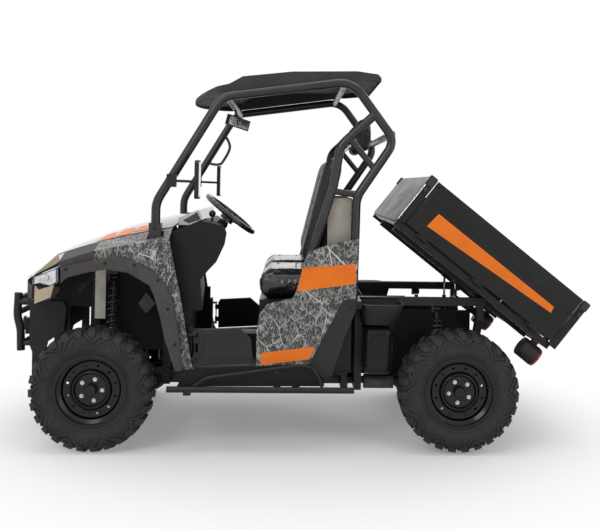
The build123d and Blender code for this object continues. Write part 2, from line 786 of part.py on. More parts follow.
# Drop-down gate: panel with a pressed groove, top and bottom rails, hinge knuckles
def gate(plane, length):
    height = bed_top - hinge_z
    outer = hinge_inset
    groove_z = height - 100
    with BuildPart(plane) as piece:
        with Locations((0, outer - gate_thickness / 2, (gate_foot + height) / 2)):
            Box(length, gate_thickness - 4, height - gate_foot)
        with Locations((0, outer - gate_thickness / 2, height - 14)):
            Box(length, gate_thickness, 28)
        with Locations((0, outer - gate_thickness / 2, gate_foot + 9)):
            Box(length, gate_thickness, 18)
        with Locations((0, outer, groove_z)):
            Box(length - 40, 12, 12, mode=Mode.SUBTRACT)
        with Locations(*hinge_places(length)):
            with Locations((0, 0, gate_foot / 2)):
                Box(50, 2 * gate_knuckle_radius, gate_foot + 4)
            with Locations(Rotation(0, 90, 0)):
                Cylinder(gate_knuckle_radius, 50)
                Cylinder(gate_pin_radius + shaft_clearance, 60, mode=Mode.SUBTRACT)
    return piece.part


for name, length in (("left", gate_length), ("right", gate_length), ("tail", tailgate_length)):
    with BuildPart() as drop_gate:
        add(gate(gate_planes[name], length))
    save(drop_gate, "tailgate" if name == "tail" else f"bed_gate_{name}")

# Bed floor with edge rails, ribs, two bearers with pivot lugs, rear posts and hinge lugs
with BuildPart() as bed_floor:
    add(bed_box((bed_front + 5, -floor_half, floor_top - bed_sheet), (bed_rear - 28, floor_half, floor_top)))
    sheet_z = floor_top - bed_sheet
    add(pair(bed_box((bed_front + 5, -floor_half, 14), (bed_rear - 28, 30 - floor_half, sheet_z))))
    add(bed_box((bed_rear - 58, -floor_half, 14), (bed_rear - 28, floor_half, sheet_z)))
    for x in (-660, -500, -340, -60, 120, 280):
        add(bed_box((x - 20, -floor_half, 30), (x + 20, floor_half, sheet_z)))
    add(pair(bed_box((-640, -bed_rail_y - 15, -5), (320, 15 - bed_rail_y, sheet_z))))
    lug_ends = (in_bed(0, -bed_rail_y - 15, 0), in_bed(0, 15 - bed_rail_y, 0))
    add(pair(rod(*lug_ends, 52)))
    pivot_bore = 2 * (pivot_pin_radius + shaft_clearance)
    pivot_ends = (in_bed(0, -bed_rail_y - 40, 0), in_bed(0, 40 - bed_rail_y, 0))
    add(pair(rod(*pivot_ends, pivot_bore)), mode=Mode.SUBTRACT)
    post_inner = bed_width / 2 - gate_thickness - 8
    add(pair(bed_box((bed_rear - corner_post, -bed_width / 2, bed_bottom), (bed_rear, -post_inner, bed_top))))
    post_foot = (bed_rear - corner_post, -post_inner - 8, 14)
    add(pair(bed_box(post_foot, (bed_rear - 28, 20 - floor_half, floor_top))))
    for side_y in (-strut_y - 20, -strut_y + 16):
        add(pair(bed_box((strut_eye_x - 14, side_y, -12), (strut_eye_x + 14, side_y + 4, sheet_z))))
for name, length in (("left", gate_length), ("right", gate_length), ("tail", tailgate_length)):
    with BuildPart(gate_planes[name]) as lugs:
        with Locations(*hinge_places(length)):
            with Locations((-32, -4, 0), (32, -4, 0)):
                Box(10, 24, 16)
            with Locations(Rotation(0, 90, 0)):
                Cylinder(gate_pin_radius, 70)
    with BuildPart() as hinged_floor:
        add(bed_floor.part)
        add(lugs.part)
    bed_floor = hinged_floor
save(bed_floor, "bed_floor")

with BuildPart() as headboard:
    add(bed_box((bed_front, -bed_width / 2, bed_bottom), (bed_front + 4.7, bed_width / 2, bed_top)))
    add(bed_box((bed_front, -bed_width / 2, bed_top - 28), (bed_front + 30, bed_width / 2, bed_top)))
    post_foot = (bed_front, -bed_width / 2, floor_top + 4)
    add(pair(bed_box(post_foot, (bed_front + corner_post, -floor_half, bed_top))))
    add(bed_box((bed_front, -bed_width / 2 + 30, 120), (bed_front + 14, bed_width / 2 - 30, 150)))
save(headboard, "bed_headboard")

with BuildPart() as tail_lights:
    for y in (-600, 600):
        add(rod(in_bed(285, y, -57), in_bed(375, y, -57), 104))
        add(bed_box((300, y - 20, -20), (330, y + 20, 13.7)))
save(tail_lights, "tail_lights")

# Gas struts under the bed: barrels swing on the frame, rods slide in them
eye = in_bed(strut_eye_x, 0, 0)
with BuildPart() as strut_barrels:
    add(rod((strut_foot_x, -strut_y, strut_foot_z + 6), (strut_foot_x, -strut_y, 728), strut_tube_diameter))
    add(rod((strut_foot_x, -strut_y - 7, strut_foot_z), (strut_foot_x, -strut_y + 7, strut_foot_z), 24))
    rod_way = ((strut_foot_x, -strut_y, 500), (strut_foot_x, -strut_y, 740))
    add(rod(*rod_way, strut_rod_diameter + 2 * shaft_clearance), mode=Mode.SUBTRACT)
    foot_ends = ((strut_foot_x, -strut_y - 20, strut_foot_z), (strut_foot_x, -strut_y + 20, strut_foot_z))
    add(rod(*foot_ends, 10 + 2 * shaft_clearance), mode=Mode.SUBTRACT)
    mirror(about=Plane.XZ)
save(strut_barrels, "strut_barrels")
with BuildPart() as strut_rods:
    add(rod((strut_foot_x, -strut_y, 630), (strut_foot_x, -strut_y, eye[2] - 6), strut_rod_diameter))
    add(rod((strut_foot_x, -strut_y - 8, eye[2]), (strut_foot_x, -strut_y + 8, eye[2]), 24))
    mirror(about=Plane.XZ)
save(strut_rods, "strut_rods")


# Hood: side profile at a distance y from the middle, crowned in between
hood_middle = ((-1543, 843), (-1264, 1030), (-930, 1152), (-600, 1231))
hood_side = ((-1390, 893), (-1269, 1005), (-960, 1100), (-668, 1160))


def hood_profile(y):
    crown = 1 - (y / hood_half_width) ** 2
    ends = zip(hood_side, hood_middle)
    return [(a[0] + (b[0] - a[0]) * crown, a[1] + (b[1] - a[1]) * crown) for a, b in ends]


with BuildPart() as hood:
    for y in (-1, -0.5, 0, 0.5, 1):
        nose, brow, top, back = hood_profile(y * hood_half_width)
        with BuildSketch(Plane.XZ.offset(-y * hood_half_width)):
            with BuildLine():
                Line(nose, brow)
                ThreePointArc(brow, top, back)
                Line(back, (back[0], back[1] - skin))
                ThreePointArc((back[0], back[1] - skin), (top[0], top[1] - skin), (brow[0], brow[1] - skin))
                Line((brow[0], brow[1] - skin), (nose[0] + skin, nose[1] - skin))
                Line((nose[0] + skin, nose[1] - skin), nose)
            make_face()
    loft()
save(hood, "hood")


# Fender strip from the crease down the side up to the hood's edge, through stations along x
def fender_bevel(stations):
    edge_y = hood_half_width + seat_clearance
    with BuildPart() as piece:
        for x, crease, shoulder in stations:
            with BuildSketch(Plane.YZ.offset(x)):
                with BuildLine():
                    Polyline(
                        (-fender_y, crease - 8), (-fender_y, crease), (-edge_y, shoulder),
                        (-edge_y, shoulder - skin), (skin - fender_y, crease - 8), close=True,
                    )
                make_face()
        loft(ruled=True)
    return piece.part


nose_panel_outline = [(-1230, 977), (-1050, 1036), (-1050, 940), (-1150, 916), (-1206, 900), (-1225, 948)]
fender_outline = [
    (-1049.7, 1036), (-669, 1108), (-637, 950), (-605, 804), (-540, 452), (-528, 429), (-606, 425),
    (-650, 590), (-690, 770), (-730, 852), (-796, 906), (-896, 950), (-1049.7, 940),
]
with BuildPart() as nose_panel:
    add(side_plate(nose_panel_outline, -fender_y, skin - fender_y))
    add(fender_bevel(((-1230, 977, 1018), (-1050, 1036, 1076))))
with BuildPart() as fender:
    add(side_plate(fender_outline, -fender_y, skin - fender_y))
    add(fender_bevel(((-1049.7, 1036, 1076), (-860, 1072, 1120), (-669, 1108, 1157))))
    with Locations((-749, -cage_y, 1130)):
        Box(84, 78, 120, mode=Mode.SUBTRACT)
for side, sign in sides:
    with BuildPart() as one_fender:
        add(fender.part if sign < 0 else mirrored(fender.part))
    save(one_fender, f"fender_{side}")

flare_outline = [
    (-1213, 950), (-1111, 974), (-998, 995), (-900, 1001), (-842, 983), (-741, 931), (-683, 872), (-646, 800),
    (-618, 671), (-602, 584), (-594, 467), (-587, 426), (-622, 424), (-677, 584), (-701, 692), (-735, 807),
    (-761, 864), (-876, 929), (-976, 942), (-1068, 928), (-1181, 898), (-1212, 868),
]
with BuildPart() as flares:
    add(side_tray(flare_outline, -flare_y, -fender_y - seat_clearance, skin))
    add(nose_panel.part)
    mirror(about=Plane.XZ)
save(flares, "flares")

# Nose: bowed fascia under the hood lip, headlights at its corners, radiator guard below
with BuildPart() as fascia:
    with BuildSketch(Plane.XY.offset(758)):
        with BuildLine():
            ThreePointArc((-1408, -524), (-1535, 0), (-1408, 524))
            Polyline((-1408, 524), (-1238, 634), (-1238, 628), (-1403, 521))
            ThreePointArc((-1403, 521), (-1530, 0), (-1403, -521))
            Polyline((-1403, -521), (-1238, -628), (-1238, -634), (-1408, -524))
        make_face()
    extrude(amount=78)
    add(side_plate([(-1310, 750), (-1200, 750), (-1200, 850)], -700, 700), mode=Mode.SUBTRACT)
save(fascia, "fascia")

lens_outline = [(-1388, 884), (-1262, 938), (-1260, 860), (-1290, 838), (-1358, 852), (-1392, 846)]
with BuildPart() as headlights:
    add(side_plate(lens_outline, -588, -440))
    mirror(about=Plane.XZ)
save(headlights, "headlights")

guard_outline = [
    (-1480, 722), (-1480, 480), (-1452, 413), (-1396, 413), (-1375, 500),
    (-1292, 555), (-1279, 687), (-1300, 722),
]
with BuildPart() as radiator_guard:
    add(side_plate(guard_outline, -300, 300))
    add(box_between((skin - 1480, skin - 300, 360), (-1200, 300 - skin, 760)), mode=Mode.SUBTRACT)
save(radiator_guard, "radiator_guard")

# Dashboard: closed moulding, hollow inside, with the steering column's hole
lean = radians(column_tilt)
column_axis = Vector(sin(lean), 0, cos(lean))
wheel_centre = Vector(*steering_wheel_centre)


def along_column(distance):
    return tuple(wheel_centre - column_axis * distance)


dash_half_width = 590
# The face towards the driver leans away to the passenger's side
dash_outlines = (
    (-1, [
        (-694, 1128), (-511, 1192), (-401, 1172), (-379, 1131), (-388, 1074), (-431, 978), (-475, 930),
        (-514, 881), (-500, 720), (-694, 720),
    ]),
    (1, [
        (-694, 1128), (-525, 1187), (-501, 1172), (-479, 1131), (-488, 1074), (-531, 978), (-575, 930),
        (-614, 881), (-600, 720), (-694, 720),
    ]),
)


def dash_body(inset):
    with BuildPart() as body:
        for hand, outline in dash_outlines:
            with BuildSketch(Plane.XZ.offset(-hand * (dash_half_width - inset))):
                with BuildLine():
                    Polyline(*outline, close=True)
                make_face()
                if inset:
                    offset(amount=-inset, kind=Kind.INTERSECTION, mode=Mode.REPLACE)
        loft(ruled=True)
    return body.part


with BuildPart() as dashboard:
    add(dash_body(0))
    add(dash_body(skin), mode=Mode.SUBTRACT)
    add(rod(along_column(60), along_column(150), 60))
    add(rod(along_column(0), along_column(160), 51), mode=Mode.SUBTRACT)
save(dashboard, "dashboard")

with BuildPart() as steering_column:
    add(rod(along_column(49), along_column(column_length), 50))
    add(rod(along_column(0), along_column(120), 19), mode=Mode.SUBTRACT)
    # Shift lever beside it on the dashboard
    add(rod((-470, -430, 1185.7), (-470, -430, 1215), 12))
    with Locations((-470, -430, 1229)):
        Sphere(19)
save(steering_column, "steering_column")

with BuildPart() as steering_wheel:
    ring_radius = (steering_wheel_diameter - steering_rim_diameter) / 2
    wheel_face = Plane(origin=wheel_centre, x_dir=(0, 1, 0), z_dir=column_axis)
    with Locations(wheel_face):
        Torus(ring_radius, steering_rim_diameter / 2)
    for turn in (0, 180, 270):
        spoke_reach = Vector(ring_radius * cos(radians(turn)), ring_radius * sin(radians(turn)), 0)
        spoke_end = wheel_face.from_local_coords(spoke_reach)
        add(bar(along_column(30), tuple(spoke_end), 28, 10))
    add(rod(along_column(14), along_column(44), 80))
    add(rod(along_column(40), along_column(110), 18))
save(steering_wheel, "steering_wheel")

# Footwell: floor, toe board, kick panels and tunnel
with BuildPart() as footwell:
    add(box_between((-640, -644.7, floor_z - 4), (-205, 644.7, floor_z)))
    add(box_between((-210, -589, floor_z - 4), (300, 589, floor_z)))
    add(box_between((-644, -589, floor_z - 4), (-640, 589, 719.7)))
    add(pair(box_between((-642, -589, floor_z - 2), (-560, -585, 719.7))))
    add(box_between((-642, -90, floor_z - 2), (-200.3, 90, 520)))
    # Hinge posts of the side doors
    add(pair(box_between((-566, -644.7, floor_z - 2), (-546, -585, 640))))
    for z in (468, 600):
        add(pair(box_between((-566, -682, z), (door_hinge_x + 7, -630, z + 9))))
    add(pair(rod((door_hinge_x, -door_hinge_y, 468), (door_hinge_x, -door_hinge_y, 609), 8)))
save(footwell, "footwell")

with BuildPart() as seat_base:
    add(box_between((-200, -585, floor_z + seat_clearance), (294, 585, 782)))
    add(box_between((-196, -581, floor_z - 10), (290, 581, 778)), mode=Mode.SUBTRACT)
save(seat_base, "seat_base")

seat_y = seat_gap / 2 + seat_width / 2
back_lean = radians(13.5)
back_foot = (13.8, 966)
back_height = 623
back_depth = 85
for side, sign in sides:
    with BuildPart() as cushion:
        with Locations((-33, sign * seat_y, 782.3 + 81)):
            Box(366, seat_width, 162)
        fillet(cushion.edges().group_by(Axis.Z)[-1], 55)
        fillet(cushion.edges().group_by(Axis.Z)[0], 18)
    save(cushion, f"seat_cushion_{side}")
    lean_plane = Plane(
        origin=(back_foot[0], sign * seat_y, back_foot[1]),
        x_dir=(cos(back_lean), 0, -sin(back_lean)),
        z_dir=(sin(back_lean), 0, cos(back_lean)),
    )
    with BuildPart(lean_plane) as seat_back:
        with Locations((back_depth / 2, 0, back_height / 2)):
            Box(back_depth, seat_width, back_height)
        fillet(seat_back.edges(), 30)
    save(seat_back, f"seat_back_{side}")

with BuildPart() as headrests:
    with Locations((356, -seat_y, 1680), (356, seat_y, 1680)):
        Box(88, 260, 194)
    fillet(headrests.edges(), 30)
save(headrests, "headrests")

with BuildPart() as bulkhead:
    add(box_between((156, -590, 782.3), (286, 590, 1330)))
    add(box_between((150, -586, 700), (282, 586, 1400)), mode=Mode.SUBTRACT)
    rise = 1270 - back_foot[1] + back_depth * sin(back_lean)
    bracket_x = back_foot[0] + rise * tan(back_lean) + back_depth * cos(back_lean) + 0.5
    for y in (-seat_y, seat_y):
        add(box_between((bracket_x, y - 20, 1230), (284, y + 20, 1270)))
save(bulkhead, "bulkhead")

# Side panels beside the seats with their dark rear trims
panel_outline = [
    (-205, 447), (-209, 628), (-194, 715), (-155, 769), (-23, 801), (-3, 838), (28, 965), (60, 1046),
    (173, 1088), (320, 1117), (307, 803), (241, 795), (70, 460),
]
with BuildPart() as side_panel:
    add(side_tray(panel_outline, -fender_y, -650, skin))
for side, sign in sides:
    with BuildPart() as one_panel:
        add(side_panel.part if sign < 0 else mirrored(side_panel.part))
    save(one_panel, f"side_panel_{side}")

trim_outline = [
    (242, 794), (307, 802), (307, 734), (262, 628), (190, 400), (176, 391), (140, 391), (71, 459.5),
]
with BuildPart() as side_trims:
    add(side_tray(trim_outline, -fender_y - 3, -645, skin))
    mirror(about=Plane.XZ)
save(side_trims, "side_trims")
sill_outline = [(-626, 423), (-207, 446), (69, 459), (150, 375), (150, 344), (-242, 341), (-599, 338)]
with BuildPart() as sills:
    add(side_tray(sill_outline, -sill_y, -645, skin))
    mirror(about=Plane.XZ)
save(sills, "sills")

# Low side doors on a hinge post at their front edge
door_outline = [(-513, 606), (-500, 628), (-302, 640), (-237, 585), (-222, 456), (-510, 440)]
with BuildPart() as door:
    add(side_plate(door_outline, -667, -642))
    with BuildSketch(Plane.XZ.offset(667)) as emboss:
        with BuildLine():
            Polyline(*door_outline, close=True)
        make_face()
        offset(amount=-26, kind=Kind.INTERSECTION, mode=Mode.REPLACE)
    extrude(amount=-4, mode=Mode.SUBTRACT)
    for z in (480, 560):
        add(box_between((door_hinge_x, -door_hinge_y - 2, z), (-508, -660, z + 30)))
        add(rod((door_hinge_x, -door_hinge_y, z), (door_hinge_x, -door_hinge_y, z + 30), 16))
    add(rod((door_hinge_x, -door_hinge_y, 400), (door_hinge_x, -door_hinge_y, 700), 9), mode=Mode.SUBTRACT)
for side, sign in sides:
    with BuildPart() as one_door:
        add(door.part if sign < 0 else mirrored(door.part))
    save(one_door, f"door_{side}")

# Mirrors: one on each A-pillar and one in the middle under the roof
with BuildPart() as mirrors:
    add(box_between((-538, -752, 1313), (-516, -646, 1513)))
    fillet(mirrors.edges().filter_by(Axis.X), 22)
    add(rod((-655, -664, 1405), (-534, -690, 1402), 14))
    add(box_between((-690, -672, 1372), (-640, -644.3, 1440)))
    mirror(about=Plane.XZ)
    stem_foot = (-372, 0, 1780)
    add(rod(stem_foot, (-383, 0, 1832.5), 14))
    with Locations(Location((-366, 0, 1760), (0, 14, -33))):
        Box(20, 210, 62)
save(mirrors, "mirrors")

# Fuel tank and the open cover over the engine
with BuildPart() as fuel_tank:
    add(box_between((363.3, -600, 385), (520, -352, 640)))
    fillet(fuel_tank.edges(), 38)
    add(rod((448, -612, 560), (448, -590, 560), 84))
save(fuel_tank, "fuel_tank")

cover_outline = [(366, 783), (610, 783), (590, 740), (540, 560), (520, 345), (366, 345)]
with BuildPart() as engine_cover:
    add(pair(side_plate(cover_outline, -345, -341)))
    add(box_between((366, -343, 697), (575, 343, 700)))
    add(box_between((366, -343, 697), (369, 343, 783)))
save(engine_cover, "engine_cover")
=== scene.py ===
import bpy
import bmesh
import json
import math
from mathutils import Matrix, Vector
from mathutils.bvhtree import BVHTree


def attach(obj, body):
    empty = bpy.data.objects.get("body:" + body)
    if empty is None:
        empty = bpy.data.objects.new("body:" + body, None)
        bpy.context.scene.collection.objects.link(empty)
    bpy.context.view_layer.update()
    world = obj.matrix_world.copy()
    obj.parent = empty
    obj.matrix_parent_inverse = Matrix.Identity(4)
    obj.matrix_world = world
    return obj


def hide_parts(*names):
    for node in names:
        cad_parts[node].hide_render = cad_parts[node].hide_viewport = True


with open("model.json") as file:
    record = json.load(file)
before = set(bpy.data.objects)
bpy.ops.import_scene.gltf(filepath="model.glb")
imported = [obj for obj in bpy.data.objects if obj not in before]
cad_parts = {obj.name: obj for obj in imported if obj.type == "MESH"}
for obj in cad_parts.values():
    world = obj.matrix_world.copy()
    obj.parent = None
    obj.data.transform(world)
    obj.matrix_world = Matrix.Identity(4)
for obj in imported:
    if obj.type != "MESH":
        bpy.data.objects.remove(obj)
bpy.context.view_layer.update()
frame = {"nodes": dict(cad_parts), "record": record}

scene = bpy.context.scene
print("frame loaded")


# Small mesh tools
def newPiece(name, bm, material, body, smooth=None):
    mesh = bpy.data.meshes.new(name)
    bm.to_mesh(mesh)
    bm.free()
    obj = bpy.data.objects.new(name, mesh)
    scene.collection.objects.link(obj)
    mesh.materials.append(material)
    if smooth is not None:
        mesh.polygons.foreach_set("use_smooth", [True] * len(mesh.polygons))
        mesh.set_sharp_from_angle(angle=math.radians(smooth))
    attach(obj, body)
    return obj


def roundEdges(bm, edges, made, size):
    out = bmesh.ops.bevel(bm, geom=edges, offset=size, segments=2, affect="EDGES", clamp_overlap=True)
    return list(set(out["verts"]) | {v for v in made if v.is_valid})


def boxInto(bm, low, high, bevel=0.0, place=None):
    low, high = Vector(low), Vector(high)
    made = bmesh.ops.create_cube(bm, size=1.0)["verts"]
    bmesh.ops.scale(bm, verts=made, vec=high - low)
    bmesh.ops.translate(bm, verts=made, vec=(low + high) / 2)
    if bevel:
        made = roundEdges(bm, list({e for v in made for e in v.link_edges}), made, bevel)
    if place:
        bmesh.ops.transform(bm, matrix=place, verts=made)


def sideBox(bm, side, low, high, bevel=0.0, place=None):  # given for the right side, put on either side
    near, far = sorted((side * low[1], side * high[1]))
    boxInto(bm, (low[0], near, low[2]), (high[0], far, high[2]), bevel, place)


def axisTurn(direction):  # turns Z to the direction
    return Vector(direction).to_track_quat("Z", "Y").to_matrix().to_4x4()


def rodInto(bm, start, end, radius, radius2=None, sides=20, bevel=0.0):
    start, end = Vector(start), Vector(end)
    length = (end - start).length
    r2 = radius if radius2 is None else radius2
    made = bmesh.ops.create_cone(
        bm, cap_ends=True, segments=sides, radius1=radius, radius2=r2, depth=length)["verts"]
    if bevel:
        rims = [e for e in {e for v in made for e in v.link_edges}
                if abs(e.verts[0].co.z - e.verts[1].co.z) < 1e-6]
        made = roundEdges(bm, rims, made, bevel)
    place = Matrix.Translation((start + end) / 2) @ axisTurn(end - start)
    bmesh.ops.transform(bm, matrix=place, verts=made)


def sweepInto(bm, points, radius, sides=10, closed=False):  # a round bar along the points
    points = [Vector(p) for p in points]
    rings = []
    normal = None
    count = len(points)
    for i, p in enumerate(points):
        if closed:
            ahead = points[(i + 1) % count] - points[i - 1]
        else:
            ahead = points[min(i + 1, count - 1)] - points[max(i - 1, 0)]
        ahead.normalize()
        if normal is None:
            normal = ahead.orthogonal()
        normal = (normal - ahead * normal.dot(ahead)).normalized()
        side = ahead.cross(normal)
        rings.append([bm.verts.new(p + (normal * math.cos(a) + side * math.sin(a)) * radius)
                      for a in [2 * math.pi * k / sides for k in range(sides)]])
    last = count if closed else count - 1
    for i in range(last):
        a, b = rings[i], rings[(i + 1) % count]
        for k in range(sides):
            bm.faces.new((a[k], a[(k + 1) % sides], b[(k + 1) % sides], b[k]))
    if not closed:
        bm.faces.new(rings[0][::-1])
        bm.faces.new(rings[-1])


def plateInto(bm, outline, yOuter, yInner, bevel=0.0):  # an outline seen from the side, made a plate
    front = [bm.verts.new((x, yOuter, z)) for x, z in outline]
    face = bm.faces.new(front)
    out = bmesh.ops.extrude_face_region(bm, geom=[face])
    moved = [g for g in out["geom"] if isinstance(g, bmesh.types.BMVert)]
    bmesh.ops.translate(bm, verts=moved, vec=(0, yInner - yOuter, 0))
    parts = set(front) | set(moved)
    faces = list({f for v in parts for f in v.link_faces})
    bmesh.ops.recalc_face_normals(bm, faces=faces)
    if bevel:
        rim = [e for e in {e for v in front for e in v.link_edges}
               if e.verts[0] in front and e.verts[1] in front]
        parts = roundEdges(bm, rim, parts, bevel)
    return list(parts)


def smoothRoute(points, steps):  # an open curve through the points
    points = [Vector(p) for p in points]
    out = []
    for i in range(len(points) - 1):
        p0 = points[max(i - 1, 0)]
        p1, p2 = points[i], points[i + 1]
        p3 = points[min(i + 2, len(points) - 1)]
        for s in range(steps):
            t = s / steps
            out.append(0.5 * ((2 * p1) + (p2 - p0) * t + (2 * p0 - 5 * p1 + 4 * p2 - p3) * t * t
                              + (3 * p1 - p0 - 3 * p2 + p3) * t ** 3))
    out.append(points[-1])
    return out


def circle(count, start=0.0):  # evenly spaced angles
    return [start + 2 * math.pi * k / count for k in range(count)]


def wheelPoint(centre, radius, angle, y):  # a point on a circle round an axle along Y
    return Vector((centre[0] + radius * math.sin(angle), y, centre[2] + radius * math.cos(angle)))


# Material tools
class Nodes:
    def __init__(self, name):
        self.mat = bpy.data.materials.new(name)
        self.mat.use_nodes = True
        self.tree = self.mat.node_tree
        self.shader = self.tree.nodes["Principled BSDF"]
        self.coord = self.add("ShaderNodeTexCoord").outputs["Object"]

    def add(self, kind, **settings):
        node = self.tree.nodes.new(kind)
        for key, value in settings.items():
            setattr(node, key, value)
        return node

    def link(self, source, target):
        if isinstance(source, (int, float)):
            target.default_value = source
        elif isinstance(source, (tuple, list)):
            target.default_value = tuple(source) + (1,) * (len(target.default_value) - len(source))
        else:
            self.tree.links.new(source, target)

    def noise(self, scale, detail=4, rough=0.55, warp=0.0, vector=None, squeeze=None):
        vector = vector or self.coord
        if squeeze:
            stretch = self.add("ShaderNodeMapping")
            stretch.inputs["Scale"].default_value = squeeze
            self.link(vector, stretch.inputs["Vector"])
            vector = stretch.outputs[0]
        node = self.add("ShaderNodeTexNoise")
        self.link(vector, node.inputs["Vector"])
        node.inputs["Scale"].default_value = scale
        node.inputs["Detail"].default_value = detail
        node.inputs["Roughness"].default_value = rough
        node.inputs["Distortion"].default_value = warp
        return node.outputs["Fac"]

    def cells(self, scale, feature="F1", vector=None):
        node = self.add("ShaderNodeTexVoronoi", feature=feature)
        self.link(vector or self.coord, node.inputs["Vector"])
        node.inputs["Scale"].default_value = scale
        return node.outputs["Distance"]

    def ramp(self, value, low, high, start=0.0, end=1.0):
        node = self.add("ShaderNodeMapRange", interpolation_type="SMOOTHSTEP")
        self.link(value, node.inputs["Value"])
        for key, number in (("From Min", low), ("From Max", high), ("To Min", start), ("To Max", end)):
            node.inputs[key].default_value = number
        return node.outputs["Result"]

    def math(self, operation, a, b=0.0):
        node = self.add("ShaderNodeMath", operation=operation)
        self.link(a, node.inputs[0])
        self.link(b, node.inputs[1])
        return node.outputs[0]

    def mix(self, amount, a, b):
        node = self.add("ShaderNodeMix", data_type="RGBA")
        self.link(amount, node.inputs["Factor"])
        self.link(a, node.inputs[6])
        self.link(b, node.inputs[7])
        return node.outputs[2]

    def bump(self, height, distance, strength):
        node = self.add("ShaderNodeBump")
        node.inputs["Distance"].default_value = distance
        node.inputs["Strength"].default_value = strength
        self.link(height, node.inputs["Height"])
        return node.outputs["Normal"]

    def finish(self, color, roughness, normal, **numbers):
        self.link(color, self.shader.inputs["Base Color"])
        self.link(roughness, self.shader.inputs["Roughness"])
        self.link(normal, self.shader.inputs["Normal"])
        for key, value in numbers.items():
            self.shader.inputs[key].default_value = value
        return self.mat


# Finishes
def mouldedPlastic(name, color, roughness=0.5, grain=900, depth=0.00025, shine=0.3):
    n = Nodes(name)
    patches = n.noise(6, 3)
    tone = n.mix(n.ramp(patches, 0.35, 0.7), color, [c * 1.35 for c in color])
    dust = n.ramp(n.noise(45, 5), 0.55, 0.75, 0.0, 0.35)
    tone = n.mix(dust, tone, [c * 1.8 + 0.004 for c in color])
    pebble = n.cells(grain)
    return n.finish(tone, n.ramp(patches, 0.2, 0.8, roughness - 0.06, roughness + 0.1),
                    n.bump(pebble, depth, 0.6), **{"Specular IOR Level": shine})


def powderCoat(name, color, roughness=0.38, depth=0.00012, shine=0.4):
    n = Nodes(name)
    orangePeel = n.noise(620, 2)
    cloud = n.noise(9, 4)
    tone = n.mix(n.ramp(cloud, 0.3, 0.75), color, [c * 1.5 for c in color])
    return n.finish(tone, n.ramp(cloud, 0.2, 0.8, roughness - 0.07, roughness + 0.1),
                    n.bump(orangePeel, depth, 0.7), **{"Specular IOR Level": shine})


def tyreRubber():
    n = Nodes("tyreRubber")
    cloud = n.noise(14, 5)
    fine = n.noise(420, 4)
    tone = n.mix(n.ramp(cloud, 0.35, 0.7), (0.018, 0.0165, 0.0155), (0.034, 0.031, 0.029))
    tone = n.mix(n.ramp(fine, 0.62, 0.8, 0, 0.3), tone, (0.055, 0.051, 0.048))
    return n.finish(tone, n.ramp(cloud, 0.2, 0.8, 0.62, 0.8), n.bump(fine, 0.0003, 0.6),
                    **{"Specular IOR Level": 0.35})


def seatVinyl(name, color=(0.009, 0.009, 0.0095), roughness=0.30, coat=0.7):
    n = Nodes(name)
    creases = n.cells(520, "DISTANCE_TO_EDGE")
    grain = n.ramp(creases, 0.0, 0.12)
    sheen = n.noise(11, 4)
    tone = n.mix(n.ramp(sheen, 0.3, 0.75), color, [c * 1.7 for c in color])
    return n.finish(tone, n.ramp(sheen, 0.25, 0.8, roughness - 0.06, roughness + 0.12),
                    n.bump(grain, 0.00022, 0.55),
                    **{"Coat Weight": coat, "Coat Roughness": 0.14, "Specular IOR Level": 0.3})


def castMetal(name, color, roughness=0.55, metal=0.6):
    n = Nodes(name)
    sand = n.noise(380, 5)
    grime = n.noise(12, 6, 0.6)
    tone = n.mix(n.ramp(grime, 0.4, 0.7), color, [c * 0.45 for c in color])
    return n.finish(tone, n.ramp(grime, 0.3, 0.8, roughness, roughness + 0.2),
                    n.bump(sand, 0.0005, 0.6), Metallic=metal)


def platedSteel(name, color=(0.62, 0.61, 0.6), roughness=0.3):
    n = Nodes(name)
    drawn = n.noise(160, 3, squeeze=(1, 1, 0.1))
    haze = n.noise(26, 4)
    tone = n.mix(n.ramp(haze, 0.35, 0.75), color, [c * 0.7 for c in color])
    return n.finish(tone, n.ramp(drawn, 0.3, 0.7, roughness - 0.08, roughness + 0.12),
                    n.bump(drawn, 0.00008, 0.5), Metallic=1.0)


def lacquer(name, color, roughness=0.12, coat=0.8):
    n = Nodes(name)
    ripple = n.noise(7, 3)
    fine = n.noise(500, 2)
    tone = n.mix(n.ramp(ripple, 0.3, 0.7), color, [c * 1.12 for c in color])
    return n.finish(tone, n.ramp(ripple, 0.2, 0.8, roughness, roughness + 0.08), n.bump(fine, 0.00003, 0.4),
                    **{"Coat Weight": coat, "Coat Roughness": 0.06, "Specular IOR Level": 0.35})


bushPrint = {
    "bend": 0.016, "litter": 75,
    "dark": (0.012, 0.0115, 0.011), "shade": (0.022, 0.021, 0.020), "pale": (0.150, 0.147, 0.141),
    "layers": (  # cells per metre, turn, line width, brightness, noise level that shows it, stretch on Z
        (80, 0.8, 0.10, 0.25, 0.50, 0.3), (64, -0.9, 0.09, 0.28, 0.50, 0.45),
        (40, 0.55, 0.050, 0.34, 0.51, 0.5), (28, -0.75, 0.038, 0.38, 0.51, 0.6),
        (11, 0.5, 0.019, 0.50, 0.50, 0.6), (7, -0.35, 0.014, 0.55, 0.50, 0.5)),
}


